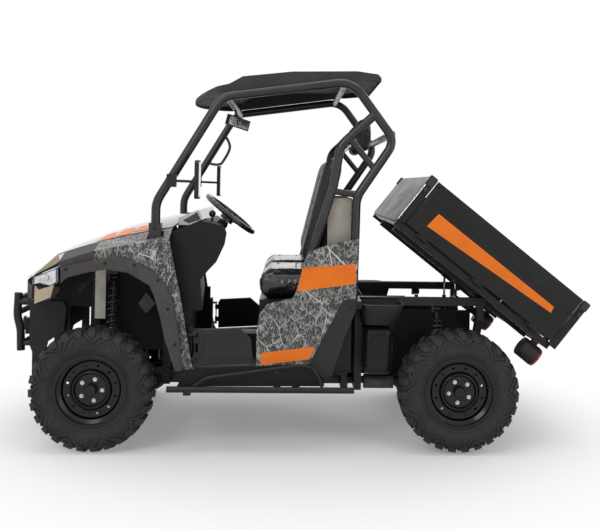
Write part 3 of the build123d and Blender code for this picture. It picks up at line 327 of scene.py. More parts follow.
def camoPlastic():  # fine pale twig litter and a few long bare branches over dark greys
    n = Nodes("camoPlastic")
    soft = n.add("ShaderNodeTexNoise")
    soft.inputs["Scale"].default_value = 14
    soft.inputs["Detail"].default_value = 4
    n.link(n.coord, soft.inputs["Vector"])
    pull = n.add("ShaderNodeVectorMath", operation="MULTIPLY_ADD")
    n.link(soft.outputs["Color"], pull.inputs[0])
    pull.inputs[1].default_value = [bushPrint["bend"]] * 3
    n.link(n.coord, pull.inputs[2])
    bent = pull.outputs[0]
    litter = n.noise(bushPrint["litter"], 8, 0.85, 0.8, vector=bent)
    tone = n.mix(n.ramp(litter, 0.45, 0.60), bushPrint["dark"], bushPrint["pale"])
    patches = n.ramp(n.noise(16, 3, vector=bent), 0.40, 0.62)
    tone = n.mix(n.math("MULTIPLY", patches, 0.55), tone, bushPrint["shade"])
    for scale, turn, wide, level, keep, stretch in bushPrint["layers"]:
        lay = n.add("ShaderNodeMapping")
        lay.inputs["Rotation"].default_value = (0.0, turn, 0.0)
        lay.inputs["Scale"].default_value = (1.0, 1.0, stretch)
        n.link(bent, lay.inputs["Vector"])
        twig = n.ramp(n.cells(scale, "DISTANCE_TO_EDGE", lay.outputs[0]), wide * 0.5, wide, 1, 0)
        shown = n.ramp(n.noise(scale * 0.55, 2), keep, keep + 0.06)
        tone = n.mix(n.math("MULTIPLY", twig, shown), tone, (level, level * 0.985, level * 0.955))
    return n.finish(tone, 0.36, n.bump(n.noise(300, 2), 0.00008, 0.5),
                    **{"Coat Weight": 0.25, "Coat Roughness": 0.25, "Specular IOR Level": 0.35})


def clearLens(name, color, roughness, transmission):
    n = Nodes(name)
    flutes = n.noise(90, 2, squeeze=(1, 1, 0.15))
    return n.finish(color, roughness, n.bump(flutes, 0.0004, 0.5),
                    **{"Transmission Weight": transmission, "IOR": 1.45})


finishes = {
    "frame_paint": powderCoat("framePowderCoat", (0.009, 0.0085, 0.008), shine=0.3),
    "cage_paint": powderCoat("cagePowderCoat", (0.017, 0.0162, 0.0158), 0.3),
    "dark_plastic": mouldedPlastic("darkMouldedPlastic", (0.011, 0.0098, 0.009)),
    "camo_plastic": camoPlastic(),
    "gloss_body": lacquer("glossyBodyPlastic", (0.018, 0.0175, 0.017)),
    "bed_paint": powderCoat("bedPaint", (0.008, 0.0072, 0.0068), 0.32, shine=0.25),
    "vinyl": seatVinyl("seatVinyl"),
    "back_vinyl": seatVinyl("seatBackVinyl", (0.007, 0.007, 0.0075), 0.55, 0.1),
    "rubber": tyreRubber(),
    "rim_paint": powderCoat("rimPaint", (0.006, 0.006, 0.006), 0.2, 0.00006, 0.3),
    "bare_steel": platedSteel("platedSteel"),
    "chrome_rod": platedSteel("chromedRod", (0.8, 0.8, 0.82), 0.12),
    "cast_metal": castMetal("castMetal", (0.09, 0.088, 0.085)),
    "cast_alloy": castMetal("castAlloy", (0.4, 0.4, 0.41), 0.4, 0.9),
    "lens": clearLens("headlightLens", (0.9, 0.93, 0.95), 0.05, 0.9),
    "red_lens": clearLens("redLens", (0.5, 0.012, 0.01), 0.15, 0.25),
    "bronze_trim": mouldedPlastic("paleBronzePlastic", (0.36, 0.33, 0.28), 0.35, 700, 0.0001),
    # warm bronze: the bezel below the headlight, and the painted reflection on the nose side
    "warm_bronze": mouldedPlastic("warmBronzeReflectionAndTrim", (0.42, 0.325, 0.245), 0.35, 700, 0.0001),
    "pale_steel": powderCoat("paleStrap", (0.5, 0.48, 0.42), 0.45),
}
orange = lacquer("orangeFilm", (0.78, 0.165, 0.002), 0.35, 0.08)
# dark film for the cowl's ends, and the painted shade in the cowl's opening
darkFilmAndShade = lacquer("darkFilmAndShade", (0.012, 0.012, 0.012), 0.25)
whitePlate = lacquer("paleFilm", (0.72, 0.71, 0.69), 0.2)

for entry in frame["record"]["subparts"]:
    node = frame["nodes"][entry["node"]]
    node.data.materials.clear()
    node.data.materials.append(finishes[entry["material_slot"]])
plastics = {  # color, roughness and the nodes moulded in it
    "greyMouldedPlastic": ((0.056, 0.052, 0.0495), 0.48, ("flares",)),
    "softGreyPlastic": ((0.026, 0.0235, 0.022), 0.5, ("side_trims", "door_left", "door_right")),
    "deepBlackPlastic": ((0.009, 0.0077, 0.007), 0.55, ("dashboard", "sills", "fascia", "splash_shields")),
    "polishedDarkPlastic": ((0.010, 0.0095, 0.009), 0.24, ("seat_base", "fuel_tank")),
    "roofPlastic": ((0.038, 0.0345, 0.032), 0.6, ("roof",)),
}
for name, (color, roughness, nodes) in plastics.items():
    own = mouldedPlastic(name, color, roughness, shine=0.2)
    for node in nodes:
        frame["nodes"][node].data.materials[0] = own
print("finishes on the frame")


# Geometry node tools
def evaluatedMesh(obj):
    return bpy.data.meshes.new_from_object(obj.evaluated_get(bpy.context.evaluated_depsgraph_get()))


def geometryTree(name, inputs):
    tree = bpy.data.node_groups.new(name, "GeometryNodeTree")
    tree.interface.new_socket("Geometry", in_out="INPUT", socket_type="NodeSocketGeometry")
    for label, kind in inputs.items():
        tree.interface.new_socket(label, in_out="INPUT", socket_type="NodeSocket" + kind)
    tree.interface.new_socket("Geometry", in_out="OUTPUT", socket_type="NodeSocketGeometry")
    return tree, tree.nodes.new("NodeGroupInput"), tree.nodes.new("NodeGroupOutput")


def endTree(tree, geometry, given, result):
    real = tree.nodes.new("GeometryNodeRealizeInstances")
    paint = tree.nodes.new("GeometryNodeSetMaterial")
    tree.links.new(geometry, real.inputs[0])
    tree.links.new(real.outputs[0], paint.inputs["Geometry"])
    tree.links.new(given.outputs["Material"], paint.inputs["Material"])
    tree.links.new(paint.outputs[0], result.inputs[0])


def runTree(obj, tree, **values):
    modifier = obj.modifiers.new("nodes", "NODES")
    modifier.node_group = tree
    for item in tree.interface.items_tree:
        if item.item_type == "SOCKET" and item.in_out == "INPUT" and item.name in values:
            modifier[item.identifier] = values[item.name]
    bpy.context.view_layer.update()
    made = evaluatedMesh(obj)
    obj.modifiers.remove(modifier)
    return made


def mathNode(tree, operation, second=None):
    node = tree.nodes.new("ShaderNodeMath")
    node.operation = operation
    if second is not None:
        node.inputs[1].default_value = second
    return node


boltLook = {"washerSize": 1.45, "washerHeight": 0.5, "washerSides": 16}  # shares of the head's size


def boltTree():  # a hexagon or round head with its washer on every point, facing the stored way
    tree, given, result = geometryTree("boltHeads", {
        "Head Radius": "Float", "Head Height": "Float", "Sides": "Int", "Material": "Material"})
    add, link = tree.nodes.new, tree.links.new
    head = add("GeometryNodeMeshCylinder")
    washer = add("GeometryNodeMeshCylinder")
    wider = mathNode(tree, "MULTIPLY", boltLook["washerSize"])
    thin = mathNode(tree, "MULTIPLY", boltLook["washerHeight"])
    washer.inputs["Vertices"].default_value = boltLook["washerSides"]
    link(given.outputs["Sides"], head.inputs["Vertices"])
    link(given.outputs["Head Radius"], head.inputs["Radius"])
    link(given.outputs["Head Height"], head.inputs["Depth"])
    link(given.outputs["Head Radius"], wider.inputs[0])
    link(wider.outputs[0], washer.inputs["Radius"])
    link(given.outputs["Head Height"], thin.inputs[0])
    link(thin.outputs[0], washer.inputs["Depth"])
    raised = add("GeometryNodeTransform")
    lift = add("ShaderNodeCombineXYZ")
    link(thin.outputs[0], lift.inputs["Z"])
    link(head.outputs["Mesh"], raised.inputs["Geometry"])
    link(lift.outputs[0], raised.inputs["Translation"])
    both = add("GeometryNodeJoinGeometry")
    link(raised.outputs[0], both.inputs[0])
    link(washer.outputs["Mesh"], both.inputs[0])
    facing = add("GeometryNodeInputNamedAttribute")
    facing.data_type = "FLOAT_VECTOR"
    facing.inputs["Name"].default_value = "facing"
    turn = add("FunctionNodeAlignRotationToVector")
    turn.axis = "Z"
    link(facing.outputs["Attribute"], turn.inputs["Vector"])
    each = add("GeometryNodeInstanceOnPoints")
    link(given.outputs["Geometry"], each.inputs["Points"])
    link(both.outputs[0], each.inputs["Instance"])
    link(turn.outputs[0], each.inputs["Rotation"])
    endTree(tree, each.outputs[0], given, result)
    return tree


boltHeads = boltTree()


def bolts(name, places, body, material, radius, height, sides=6):
    points = bpy.data.meshes.new(name + "Points")
    points.from_pydata([p for p, _ in places], [], [])
    facing = points.attributes.new("facing", "FLOAT_VECTOR", "POINT")
    for i, (_, way) in enumerate(places):
        facing.data[i].vector = way
    holder = bpy.data.objects.new(name, points)
    scene.collection.objects.link(holder)
    holder.data = runTree(holder, boltHeads, **{
        "Head Radius": radius, "Head Height": height, "Sides": sides, "Material": material})
    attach(holder, body)


# Tyres: a carcass with a ring of tread pitches
tyreSizes = {
    "crown": 0.3045, "bead": 0.190, "rimSeat": 0.1785,  # radii
    "shoulder": 0.415, "rimEdge": 0.41, "rimInside": 0.35, "narrower": 0.93,  # shares of the width
    "pitches": 9, "pitchRadius": 0.305, "stagger": 0.026, "lean": 0.0028, "sunk": 0.002,
    "bar": 0.071,  # from one bar to the next
    "wall": 0.012, "steps": 96, "ringSteps": 72,
    "rings": ((0.452, 0.2035, 0.0022), (0.468, 0.2155, 0.0014)),  # share of the width, radius, thickness
}
wheelPlaces = {  # along, across and the tyre's width
    "front_left": (-1.051, -0.645, 0.230), "front_right": (-1.051, 0.645, 0.230),
    "rear_left": (0.864, -0.620, 0.280), "rear_right": (0.864, 0.620, 0.280),
}
axleHeight = 0.320


def tyreProfile(width):
    half = width / 2 - 0.0032
    corners = [(0, tyreSizes["crown"]), (0.26 * width, 0.3025), (0.385 * width, 0.295), (half * 0.93, 0.281),
               (half * 0.985, 0.262), (half, 0.246), (half * 0.985, 0.225), (half * 0.93, 0.207),
               (0.415 * width, tyreSizes["bead"])]
    fine = [(p.x, p.y) for p in smoothRoute([(a, r, 0) for a, r in corners], 6)]
    lengths = [0.0]
    for a, b in zip(fine, fine[1:]):
        lengths.append(lengths[-1] + math.dist(a, b))
    return fine, lengths


def onProfile(profile, t, height):
    fine, lengths = profile
    i = max(k for k in range(len(fine) - 1) if lengths[k] <= max(t, 0) + 1e-9)
    part = (t - lengths[i]) / (lengths[i + 1] - lengths[i])
    (a0, r0), (a1, r1) = fine[i], fine[i + 1]
    length = math.dist(fine[i], fine[i + 1])
    na, nr = (r0 - r1) / length, (a1 - a0) / length
    return a0 + (a1 - a0) * part + na * height, r0 + (r1 - r0) * part + nr * height


# Each strip is a chain of places, in mm: from the middle of the tread, round the tyre, width, height.
# Past 100 the first number goes on down the sidewall from the shoulder.
longBar = ((4, -84, 26, 15.2), (34, -76, 32, 15.4), (66, -70, 40, 15.4), (94, -66, 45, 15),
           (106, -64, 42, 12), (120, -60, 30, 7.5))
treadStrips = [[(t, s + 1000 * tyreSizes["bar"] * k, w, h) for t, s, w, h in longBar] for k in range(3)] + [
    ((104, -72, 22, 9), (140, -22, 22, 7), (172, 18, 24, 3.4), (140, 58, 22, 7), (104, 108, 22, 9)),
    ((104, -30, 20, 9), (130, 0, 20, 7), (146, 18, 22, 4), (130, 36, 20, 7), (104, 66, 20, 9)),
    ((168, 88, 9, 3), (118, 124.5, 12, 4.5), (168, 161, 9, 3)),
]
stripStep = 14  # longest step along a strip


def finerStrip(strip):
    rows = []
    for one, two in zip(strip, strip[1:]):
        steps = max(1, round(abs(two[0] - one[0]) / stripStep))
        for k in range(steps):
            rows.append([a + (b - a) * k / steps for a, b in zip(one, two)])
    return rows + [strip[-1]]


def stripSection(bm, profile, shoulder, hand, row):  # four corners across a strip, its sides leaning in
    t, s, w, h = row
    across = t / 100 * shoulder if t < 100 else shoulder + (t - 100) / 1000
    stagger = 0.0 if hand < 0 else tyreSizes["stagger"]
    taper = min(tyreSizes["lean"], w * 0.0002)
    half = w / 2000
    ring = []
    for offset, lift in ((-half, -tyreSizes["sunk"]), (taper - half, h / 1000),
                         (half - taper, h / 1000), (half, -tyreSizes["sunk"])):
        a, r = onProfile(profile, across, lift)
        angle = (s / 1000 + stagger + offset) / tyreSizes["pitchRadius"]
        ring.append(bm.verts.new((r * math.sin(angle), hand * a, r * math.cos(angle))))
    return ring


def treadPitch(width):
    profile = tyreProfile(width)
    shoulder = tyreSizes["shoulder"] * width
    bm = bmesh.new()
    for hand in (-1, 1):
        for strip in treadStrips:
            loops = [stripSection(bm, profile, shoulder, hand, row) for row in finerStrip(strip)]
            for one, two in zip(loops, loops[1:]):
                for k in range(4):
                    bm.faces.new((one[k], one[(k + 1) % 4], two[(k + 1) % 4], two[k]))
            bm.faces.new(loops[0])
            bm.faces.new(loops[-1][::-1])
    bmesh.ops.recalc_face_normals(bm, faces=bm.faces)
    mesh = bpy.data.meshes.new("treadPitch")
    bm.to_mesh(mesh)
    bm.free()
    return mesh


def ringTree():  # copies of one pitch turned round an axle along Y
    tree, given, result = geometryTree("treadRing", {
        "Pitch": "Object", "Count": "Int", "Material": "Material"})
    add, link = tree.nodes.new, tree.links.new
    info = add("GeometryNodeObjectInfo")
    points = add("GeometryNodePoints")
    index = add("GeometryNodeInputIndex")
    share = mathNode(tree, "DIVIDE")
    turn = mathNode(tree, "MULTIPLY", 2 * math.pi)
    angles = add("ShaderNodeCombineXYZ")
    each = add("GeometryNodeInstanceOnPoints")
    link(given.outputs["Pitch"], info.inputs["Object"])
    link(given.outputs["Count"], points.inputs["Count"])
    link(index.outputs[0], share.inputs[0])
    link(given.outputs["Count"], share.inputs[1])
    link(share.outputs[0], turn.inputs[0])
    link(turn.outputs[0], angles.inputs["Y"])
    link(points.outputs[0], each.inputs["Points"])
    link(info.outputs["Geometry"], each.inputs["Instance"])
    link(angles.outputs[0], each.inputs["Rotation"])
    endTree(tree, each.outputs[0], given, result)
    return tree


treadRing = ringTree()


def lathe(bm, profile, steps, centre):  # a closed profile of (along Y, radius) turned round an axle
    rings = [[bm.verts.new(wheelPoint(centre, r, a, centre[1] + y)) for y, r in profile]
             for a in circle(steps)]
    for k in range(steps):
        one, two = rings[k], rings[(k + 1) % steps]
        for i in range(len(profile) - 1):
            bm.faces.new((one[i], one[i + 1], two[i + 1], two[i]))


def tyreCarcass(place, centre, width):
    fine, _ = tyreProfile(width)
    inner = [(a * tyreSizes["narrower"], r - tyreSizes["wall"]) for a, r in fine]
    inner[-1] = (tyreSizes["rimInside"] * width, tyreSizes["rimSeat"])
    outline = fine + [(tyreSizes["rimEdge"] * width, tyreSizes["rimSeat"])] + inner[::-1]
    shape = [(-a, r) for a, r in outline[::-1]][:-1] + outline
    bm = bmesh.new()
    lathe(bm, shape, tyreSizes["steps"], centre)
    for side in (-1, 1):  # moulded rings beside the rim
        for across, radius, thick in tyreSizes["rings"]:
            ring = [wheelPoint(centre, radius, a, centre[1] + side * across * width)
                    for a in circle(tyreSizes["ringSteps"])]
            sweepInto(bm, ring, thick, 6, closed=True)
    bmesh.ops.remove_doubles(bm, verts=bm.verts, dist=1e-6)
    bmesh.ops.recalc_face_normals(bm, faces=bm.faces)
    carcass = newPiece("tyreCarcass_" + place, bm, finishes["rubber"], "wheel_" + place, 40)
    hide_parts("tyre_" + place)


def tyreTread(place, centre, pitch):
    holder = bpy.data.objects.new("tyreTread_" + place, bpy.data.meshes.new("tread"))
    scene.collection.objects.link(holder)
    holder.data = runTree(holder, treadRing, Pitch=pitch, Count=tyreSizes["pitches"],
                          Material=finishes["rubber"])
    holder.data.transform(Matrix.Translation(centre))
    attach(holder, "wheel_" + place)


for width in sorted({w for _, _, w in wheelPlaces.values()}):
    pitch = bpy.data.objects.new("pitch", treadPitch(width))
    scene.collection.objects.link(pitch)
    for place, (x, y, w) in wheelPlaces.items():
        if w == width:
            tyreTread(place, (x, y, axleHeight), pitch)
            tyreCarcass(place, (x, y, axleHeight), width)
    bpy.data.objects.remove(pitch)
print("tyres done")


# Wheel details: hex nuts, centre cap, bead line and valve
wheelLook = {
    "nuts": 5, "nutCircle": 0.057, "nutRadius": 0.0075, "nutHeight": 0.016,
    "frontTurn": 0.35, "rearTurn": 0.8, "faceDepth": 0.042, "capRadius": 0.030, "capTop": 0.026,
    "capHeights": (0.021, 0.027), "valveCircle": 0.150, "valveTurn": 0.6, "valveDepth": 0.012,
    "valveLength": 0.030, "valve": (0.0045, 0.004),
    "beadCircle": 0.0925, "beadHeight": 0.0105, "bead": 0.0026,
}
for place, (x, y, width) in wheelPlaces.items():
    side = -1 if y < 0 else 1
    centre = (x, y, axleHeight)
    face = y + side * (tyreSizes["rimEdge"] * width - wheelLook["faceDepth"])
    start = wheelLook["frontTurn" if "front" in place else "rearTurn"]
    nuts = [(wheelPoint(centre, wheelLook["nutCircle"], a, face + side * 0.001), (0, side, 0))
            for a in circle(wheelLook["nuts"], start)]
    bolts("wheelNuts_" + place, nuts, "wheel_" + place, finishes["bare_steel"],
          wheelLook["nutRadius"], wheelLook["nutHeight"])
    bm = bmesh.new()
    capEnds = [(x, face + side * height, axleHeight) for height in wheelLook["capHeights"]]
    rodInto(bm, *capEnds, wheelLook["capRadius"], wheelLook["capTop"], 32)
    stem = wheelPoint(centre, wheelLook["valveCircle"], start + wheelLook["valveTurn"],
                      face - side * wheelLook["valveDepth"])
    rodInto(bm, stem, stem + Vector((0, side * wheelLook["valveLength"], 0)), *wheelLook["valve"], 12)
    beadY = face + side * wheelLook["beadHeight"]
    ring = [wheelPoint(centre, wheelLook["beadCircle"], a, beadY) for a in circle(64)]
    sweepInto(bm, ring, wheelLook["bead"], 8, closed=True)
    newPiece("wheelCap_" + place, bm, finishes["rim_paint"], "wheel_" + place, 40)
print("wheels done")

# Shock absorbers with coil springs
shockLook = {
    "turns": 12, "stepsPerTurn": 22, "wire": 0.0052, "coil": 0.028, "coilStart": 0.07, "coilEnd": 0.80,
    "body": 0.022, "sleeve": 0.0121, "seat": 0.0345, "eye": 0.017, "eyeHalf": 0.018,
}
shockEnds = (  # top and foot on the left side, front and rear
    ((-1.007, -0.360, 0.8687), (-1.013, -0.425, 0.2583)),
    ((0.778, -0.420, 0.7217), (0.784, -0.428, 0.268)),
)


def shockBody(bm, top, foot):
    run = (foot - top).normalized()
    length = (foot - top).length
    parts = (  # from, to, radius, sides, bevel
        (0.02, length * 0.50, shockLook["sleeve"], 20, 0.0),
        (length * 0.48, length - 0.02, shockLook["body"], 24, 0.002),
        (0.058, 0.068, shockLook["seat"], 28, 0.002),
        (length * shockLook["coilEnd"], length * shockLook["coilEnd"] + 0.012, shockLook["seat"], 28, 0.002),
    )
    for start, end, radius, sides, bevel in parts:
        rodInto(bm, top + run * start, top + run * end, radius, None, sides, bevel)
    along = Vector((shockLook["eyeHalf"], 0, 0))
    for end in (top, foot):
        rodInto(bm, end - along, end + along, shockLook["eye"], None, 20, 0.002)


def shockSpring(bm, top, foot):
    run = (foot - top).normalized()
    start = top + run * shockLook["coilStart"]
    end = top + run * ((foot - top).length * shockLook["coilEnd"])
    sideways = run.orthogonal().normalized()
    across = run.cross(sideways)
    steps = shockLook["turns"] * shockLook["stepsPerTurn"]
    coil = []
    for k in range(steps + 1):
        a = 2 * math.pi * k / shockLook["stepsPerTurn"]
        coil.append(start.lerp(end, k / steps)
                    + (sideways * math.cos(a) + across * math.sin(a)) * shockLook["coil"])
    sweepInto(bm, coil, shockLook["wire"], 8)


bodyParts, springs = bmesh.new(), bmesh.new()
for side in (1, -1):
    for ends in shockEnds:
        top, foot = (Vector((x, y * side, z)) for x, y, z in ends)
        shockBody(bodyParts, top, foot)
        shockSpring(springs, top, foot)
shocks = newPiece("shockBodies", bodyParts, finishes["frame_paint"], "chassis", 40)
newPiece("shockSprings", springs, finishes["gloss_body"], "chassis", 60)
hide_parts("shock_absorbers")
print("shocks done")


# Seats: vinyl pads blown up with cloth, then pressed in along their seams
padLook = {"cuts": 3, "voxel": 0.006, "pressure": 4, "frames": 20, "fill": 0.9}


def roundedBlock(low, high, rounding):
    bm = bmesh.new()
    boxInto(bm, low, high)
    for _ in range(padLook["cuts"]):
        bmesh.ops.subdivide_edges(bm, edges=bm.edges, cuts=1, use_grid_fill=True)
    mid = (Vector(low) + Vector(high)) / 2
    half = (Vector(high) - Vector(low)) / 2
    inner = Vector([max(h - rounding, 0.001) for h in half])
    for v in bm.verts:
        core = Vector([max(-i, min(i, c)) for i, c in zip(inner, v.co - mid)])
        out = v.co - mid - core
        if out.length > 1e-6:
            v.co = mid + core + out.normalized() * min(out.length, rounding)
    return bm


def blowUp(obj, cap):  # cloth under pressure, held to a cap so that the pad keeps its outline
    scene.frame_set(1)
    cloth = obj.modifiers.new("cloth", "CLOTH")
    cloth.settings.use_pressure = True
    cloth.settings.uniform_pressure_force = padLook["pressure"]
    cloth.settings.effector_weights.gravity = 0
    for f in range(1, padLook["frames"] + 1):
        scene.frame_set(f)
    blown = evaluatedMesh(obj)
    obj.modifiers.clear()
    scene.frame_set(1)
    for v, w in zip(obj.data.vertices, blown.vertices):
        step = w.co - v.co
        if step.length > cap:
            step *= cap / step.length
        v.co = v.co + step
    bpy.data.meshes.remove(blown)


def pad(name, low, high, rounding, cap):
    bm = roundedBlock(low, high, rounding)
    mesh = bpy.data.meshes.new(name)
    bm.to_mesh(mesh)
    bm.free()
    obj = bpy.data.objects.new(name, mesh)
    scene.collection.objects.link(obj)
    remesh = obj.modifiers.new("remesh", "REMESH")
    remesh.mode = "VOXEL"
    remesh.voxel_size = padLook["voxel"]
    obj.data = evaluatedMesh(obj)
    obj.modifiers.clear()
    blowUp(obj, cap)
    return obj


def pressInto(obj, seams):  # each seam is (distance from its line, width, depth, way the vinyl stands out)
    for v in obj.data.vertices:
        for distance, width, depth, way in seams:
            d = abs(distance(v.co))
            if d < width:
                v.co -= Vector(way(v.co)) * depth * (1 - (d / width)) ** 2


def crossSeam(axis, level, middle, reach):  # runs across the pad between its two long seams
    return lambda co: co[axis] - level if abs(co.y - middle) < reach else 1


def longSeams(middle, reach):
    return lambda co: abs(co.y - middle) - reach


def awayFrom(middle):  # the way the vinyl stands out at a cushion's border, nothing on its top
    return lambda co: (0, 1 if co.y > middle else -1, 0) if abs(co.y - middle) > seatLook["borderHalf"] else (
        (1 if co.x > seatLook["borderMid"] else -1, 0, 0) if co.z < seatLook["topFrom"] else (0, 0, 0))


seatLook = {
    "middle": 0.300, "half": 0.268,
    "cushionX": (-0.206, 0.140), "cushionZ": (0.789, 0.930), "cushionRound": 0.045, "cushionCap": 0.012,
    "cushionReach": 0.170, "cushionSeams": (-0.11, 0.0), "borderLine": 0.893,
    "borderHalf": 0.255, "borderMid": -0.03, "topFrom": 0.90,
    "backX": (0.006, 0.079), "backZ": (0.008, 0.615), "backRound": 0.034, "backCap": 0.014,
    "backReach": 0.165, "backSeams": (0.19, 0.34, 0.49), "backFace": 0.02,
    "backFoot": (0.0138, 0, 0.966), "lean": 13.5,
    "restX": (0.320, 0.392), "restZ": (1.592, 1.768), "restHalf": 0.122, "restRound": 0.030, "restCap": 0.007,
    "postGap": 0.055, "postFoot": (0.152, 1.500), "postTop": (0.352, 1.680), "post": 0.007,
}


def seatPad(name, part, middle, half):
    (x0, x1), (z0, z1) = seatLook[part + "X"], seatLook[part + "Z"]
    return pad(name, (x0, middle - half, z0), (x1, middle + half, z1),
               seatLook[part + "Round"], seatLook[part + "Cap"])


for side, middle in (("left", -seatLook["middle"]), ("right", seatLook["middle"])):
    cushion = seatPad("seatCushion_" + side, "cushion", middle, seatLook["half"])
    upward = lambda co: (0, 0, 1) if co.z > seatLook["topFrom"] else (0, 0, 0)
    reach = seatLook["cushionReach"]
    pressInto(cushion, [
        (longSeams(middle, reach), 0.012, 0.009, upward),
        *[(crossSeam(0, x, middle, reach), 0.011, 0.007, upward) for x in seatLook["cushionSeams"]],
        (lambda co: co.z - seatLook["borderLine"], 0.009, 0.006, awayFrom(middle)),
    ])
    back = seatPad("seatBack_" + side, "back", middle, seatLook["half"])
    forward = lambda co: (-1, 0, 0) if co.x < seatLook["backFace"] else (0, 0, 0)
    reach = seatLook["backReach"]
    pressInto(back, [
        (longSeams(middle, reach), 0.012, 0.009, forward),
        *[(crossSeam(2, z, middle, reach), 0.011, 0.008, forward) for z in seatLook["backSeams"]],
    ])
    lean = Matrix.Rotation(math.radians(seatLook["lean"]), 4, "Y")
    back.data.transform(Matrix.Translation(seatLook["backFoot"]) @ lean)
    rest = seatPad("headrest_" + side, "rest", middle, seatLook["restHalf"])
    for piece, node in ((cushion, "seat_cushion_" + side), (back, "seat_back_" + side), (rest, "headrests")):
        piece.data.materials.append(finishes["vinyl" if piece is cushion else "back_vinyl"])
        smoother = piece.modifiers.new("smooth", "SUBSURF")
        smoother.levels = smoother.render_levels = 1
        piece.data.polygons.foreach_set("use_smooth", [True] * len(piece.data.polygons))
        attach(piece, "chassis")
        if node != "headrests" or side == "left":
            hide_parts(node)
posts = bmesh.new()
(footX, footZ), (topX, topZ) = seatLook["postFoot"], seatLook["postTop"]
for middle in (-seatLook["middle"], seatLook["middle"]):
    for y in (middle - seatLook["postGap"], middle + seatLook["postGap"]):
        rodInto(posts, (footX, y, footZ), (topX, y, topZ), seatLook["post"], None, 14)
newPiece("headrestPosts", posts, finishes["bare_steel"], "chassis", 40)
print("seats done")


# Stripes: thin films on the side panels and the bed gates
bedTilt = {"pivot": (1.035, 0, 0.762), "raised": 38}
bedPlace = Matrix.Translation(bedTilt["pivot"]) @ Matrix.Rotation(math.radians(bedTilt["raised"]), 4, "Y")
filmLook = {"proud": 0.0005, "sunk": 0.0004}


def filmInto(bm, outline, y, place=Matrix.Identity(4)):
    side = 1 if y > 0 else -1
    verts = plateInto(bm, outline, y + side * filmLook["proud"], y - side * filmLook["sunk"])
    bmesh.ops.transform(bm, matrix=place, verts=verts)


stripeLook = {
    "panelFace": 0.690, "gateFace": 0.6782, "ribFace": 0.6741, "lineEnds": (-0.606, 0.372),
    "back": [(0.028, 0.962), (0.305, 0.986), (0.307, 0.882), (-0.003, 0.838), (0.004, 0.862)],
    "foot": [(-0.184, 0.515), (0.096, 0.551), (0.070, 0.484), (-0.182, 0.452)],
    "bed": [(-0.536, 0.208), (0.255, 0.212), (0.262, 0.177), (-0.545, 0.118)],
}
for side in (-1, 1):
    bm = bmesh.new()
    filmInto(bm, stripeLook["back"], side * stripeLook["panelFace"])
    filmInto(bm, stripeLook["foot"], side * stripeLook["panelFace"])
    name = "left" if side < 0 else "right"
    newPiece("panelStripes_" + name, bm, orange, "chassis")
    bm = bmesh.new()
    filmInto(bm, stripeLook["bed"], side * stripeLook["gateFace"], bedPlace)
    newPiece("bedStripe_" + name, bm, orange, "bed_gate_" + name)
    bm = bmesh.new()
    x0, x1 = stripeLook["lineEnds"]
    for z0, z1, face in ((0.2345, 0.2435, "ribFace"), (0.3065, 0.3108, "gateFace")):
        filmInto(bm, [(x0, z0), (x1, z0), (x1, z1), (x0, z1)], side * stripeLook[face], bedPlace)
    newPiece("gateShadowLines_" + name, bm, finishes["rim_paint"], "bed_gate_" + name)
print("stripes done")

# Bed hardware: latch levers, corner caps, a thin bright steel rod along the front edge as a painted
# highlight, and tail lamp shrouds, in the bed's own frame
bedLook = {
    "half": 0.680, "lever": 0.004, "leverX": -0.629, "leverHalf": 0.011, "leverFoot": 0.196,
    "leverTop": 0.318, "leverEye": 0.016,
    "capProud": 0.012, "capBolt": 0.014, "capBolts": ((-0.674, 0.262), (0.384, 0.262)),
    "caps": (((-0.698, 0.660, 0.286), (-0.650, 0.692, 0.345)),
             ((0.362, 0.660, 0.292), (0.404, 0.690, 0.343))),
    "edgeX": -0.6895, "edgeZ": (0.05, 0.285), "edge": 0.0022,
    "lampY": 0.6, "lampZ": -0.057, "lampEnds": (0.262, 0.366), "lampRadii": (0.0535, 0.0545),
    "lampBoxes": (((0.287, 0.553, -0.100), (0.300, 0.647, -0.015)),
                  ((0.2985, 0.5792, -0.020), (0.3315, 0.6208, 0.0132))),
}


def gateLever(side, name):
    half = bedLook["half"]
    inner = half - bedLook["lever"]
    x, top, wide = bedLook["leverX"], bedLook["leverTop"], bedLook["leverHalf"]
    bm = bmesh.new()
    sideBox(bm, side, (x - wide, inner, bedLook["leverFoot"]), (x + wide, half, top), 0.0015, bedPlace)
    eyeEnds = [bedPlace @ Vector((x, side * y, top)) for y in (inner, half - 0.0005)]
    rodInto(bm, *eyeEnds, bedLook["leverEye"], None, 20)
    newPiece("gateLever_" + name, bm, finishes["frame_paint"], "bed_gate_" + name, 40)


def bedCorners(side, name):
    half = bedLook["half"]
    bm = bmesh.new()
    for low, high in bedLook["caps"]:
        sideBox(bm, side, low, high, 0.004, bedPlace)
    for x, z in bedLook["capBolts"]:
        boltEnds = [bedPlace @ Vector((x, side * y, z)) for y in (half, half + bedLook["capProud"])]
        rodInto(bm, *boltEnds, bedLook["capBolt"], None, 18, 0.002)
    newPiece("bedCorners_" + name, bm, finishes["cage_paint"], "bed", 40)


# a thin bright steel rod along the bed's front edge: a painted highlight
def bedEdgeHighlight(side, name):
    bm = bmesh.new()
    y = side * bedLook["half"]
    edgeEnds = [bedPlace @ Vector((bedLook["edgeX"], y, z)) for z in bedLook["edgeZ"]]
    rodInto(bm, *edgeEnds, bedLook["edge"], None, 8)
    newPiece("bedEdge_" + name, bm, finishes["bare_steel"], "bed", 40)


for side, name in ((-1, "left"), (1, "right")):
    gateLever(side, name)
    bedCorners(side, name)
    bedEdgeHighlight(side, name)
bm = bmesh.new()
for side in (-1, 1):
    for low, high in bedLook["lampBoxes"]:
        sideBox(bm, side, low, high, 0.004, bedPlace)
    ends = [bedPlace @ Vector((x, side * bedLook["lampY"], bedLook["lampZ"])) for x in bedLook["lampEnds"]]
    rodInto(bm, *ends, *bedLook["lampRadii"], 40, 0.003)
newPiece("tailLampHousings", bm, finishes["dark_plastic"], "bed", 40)
print("bed hardware done")

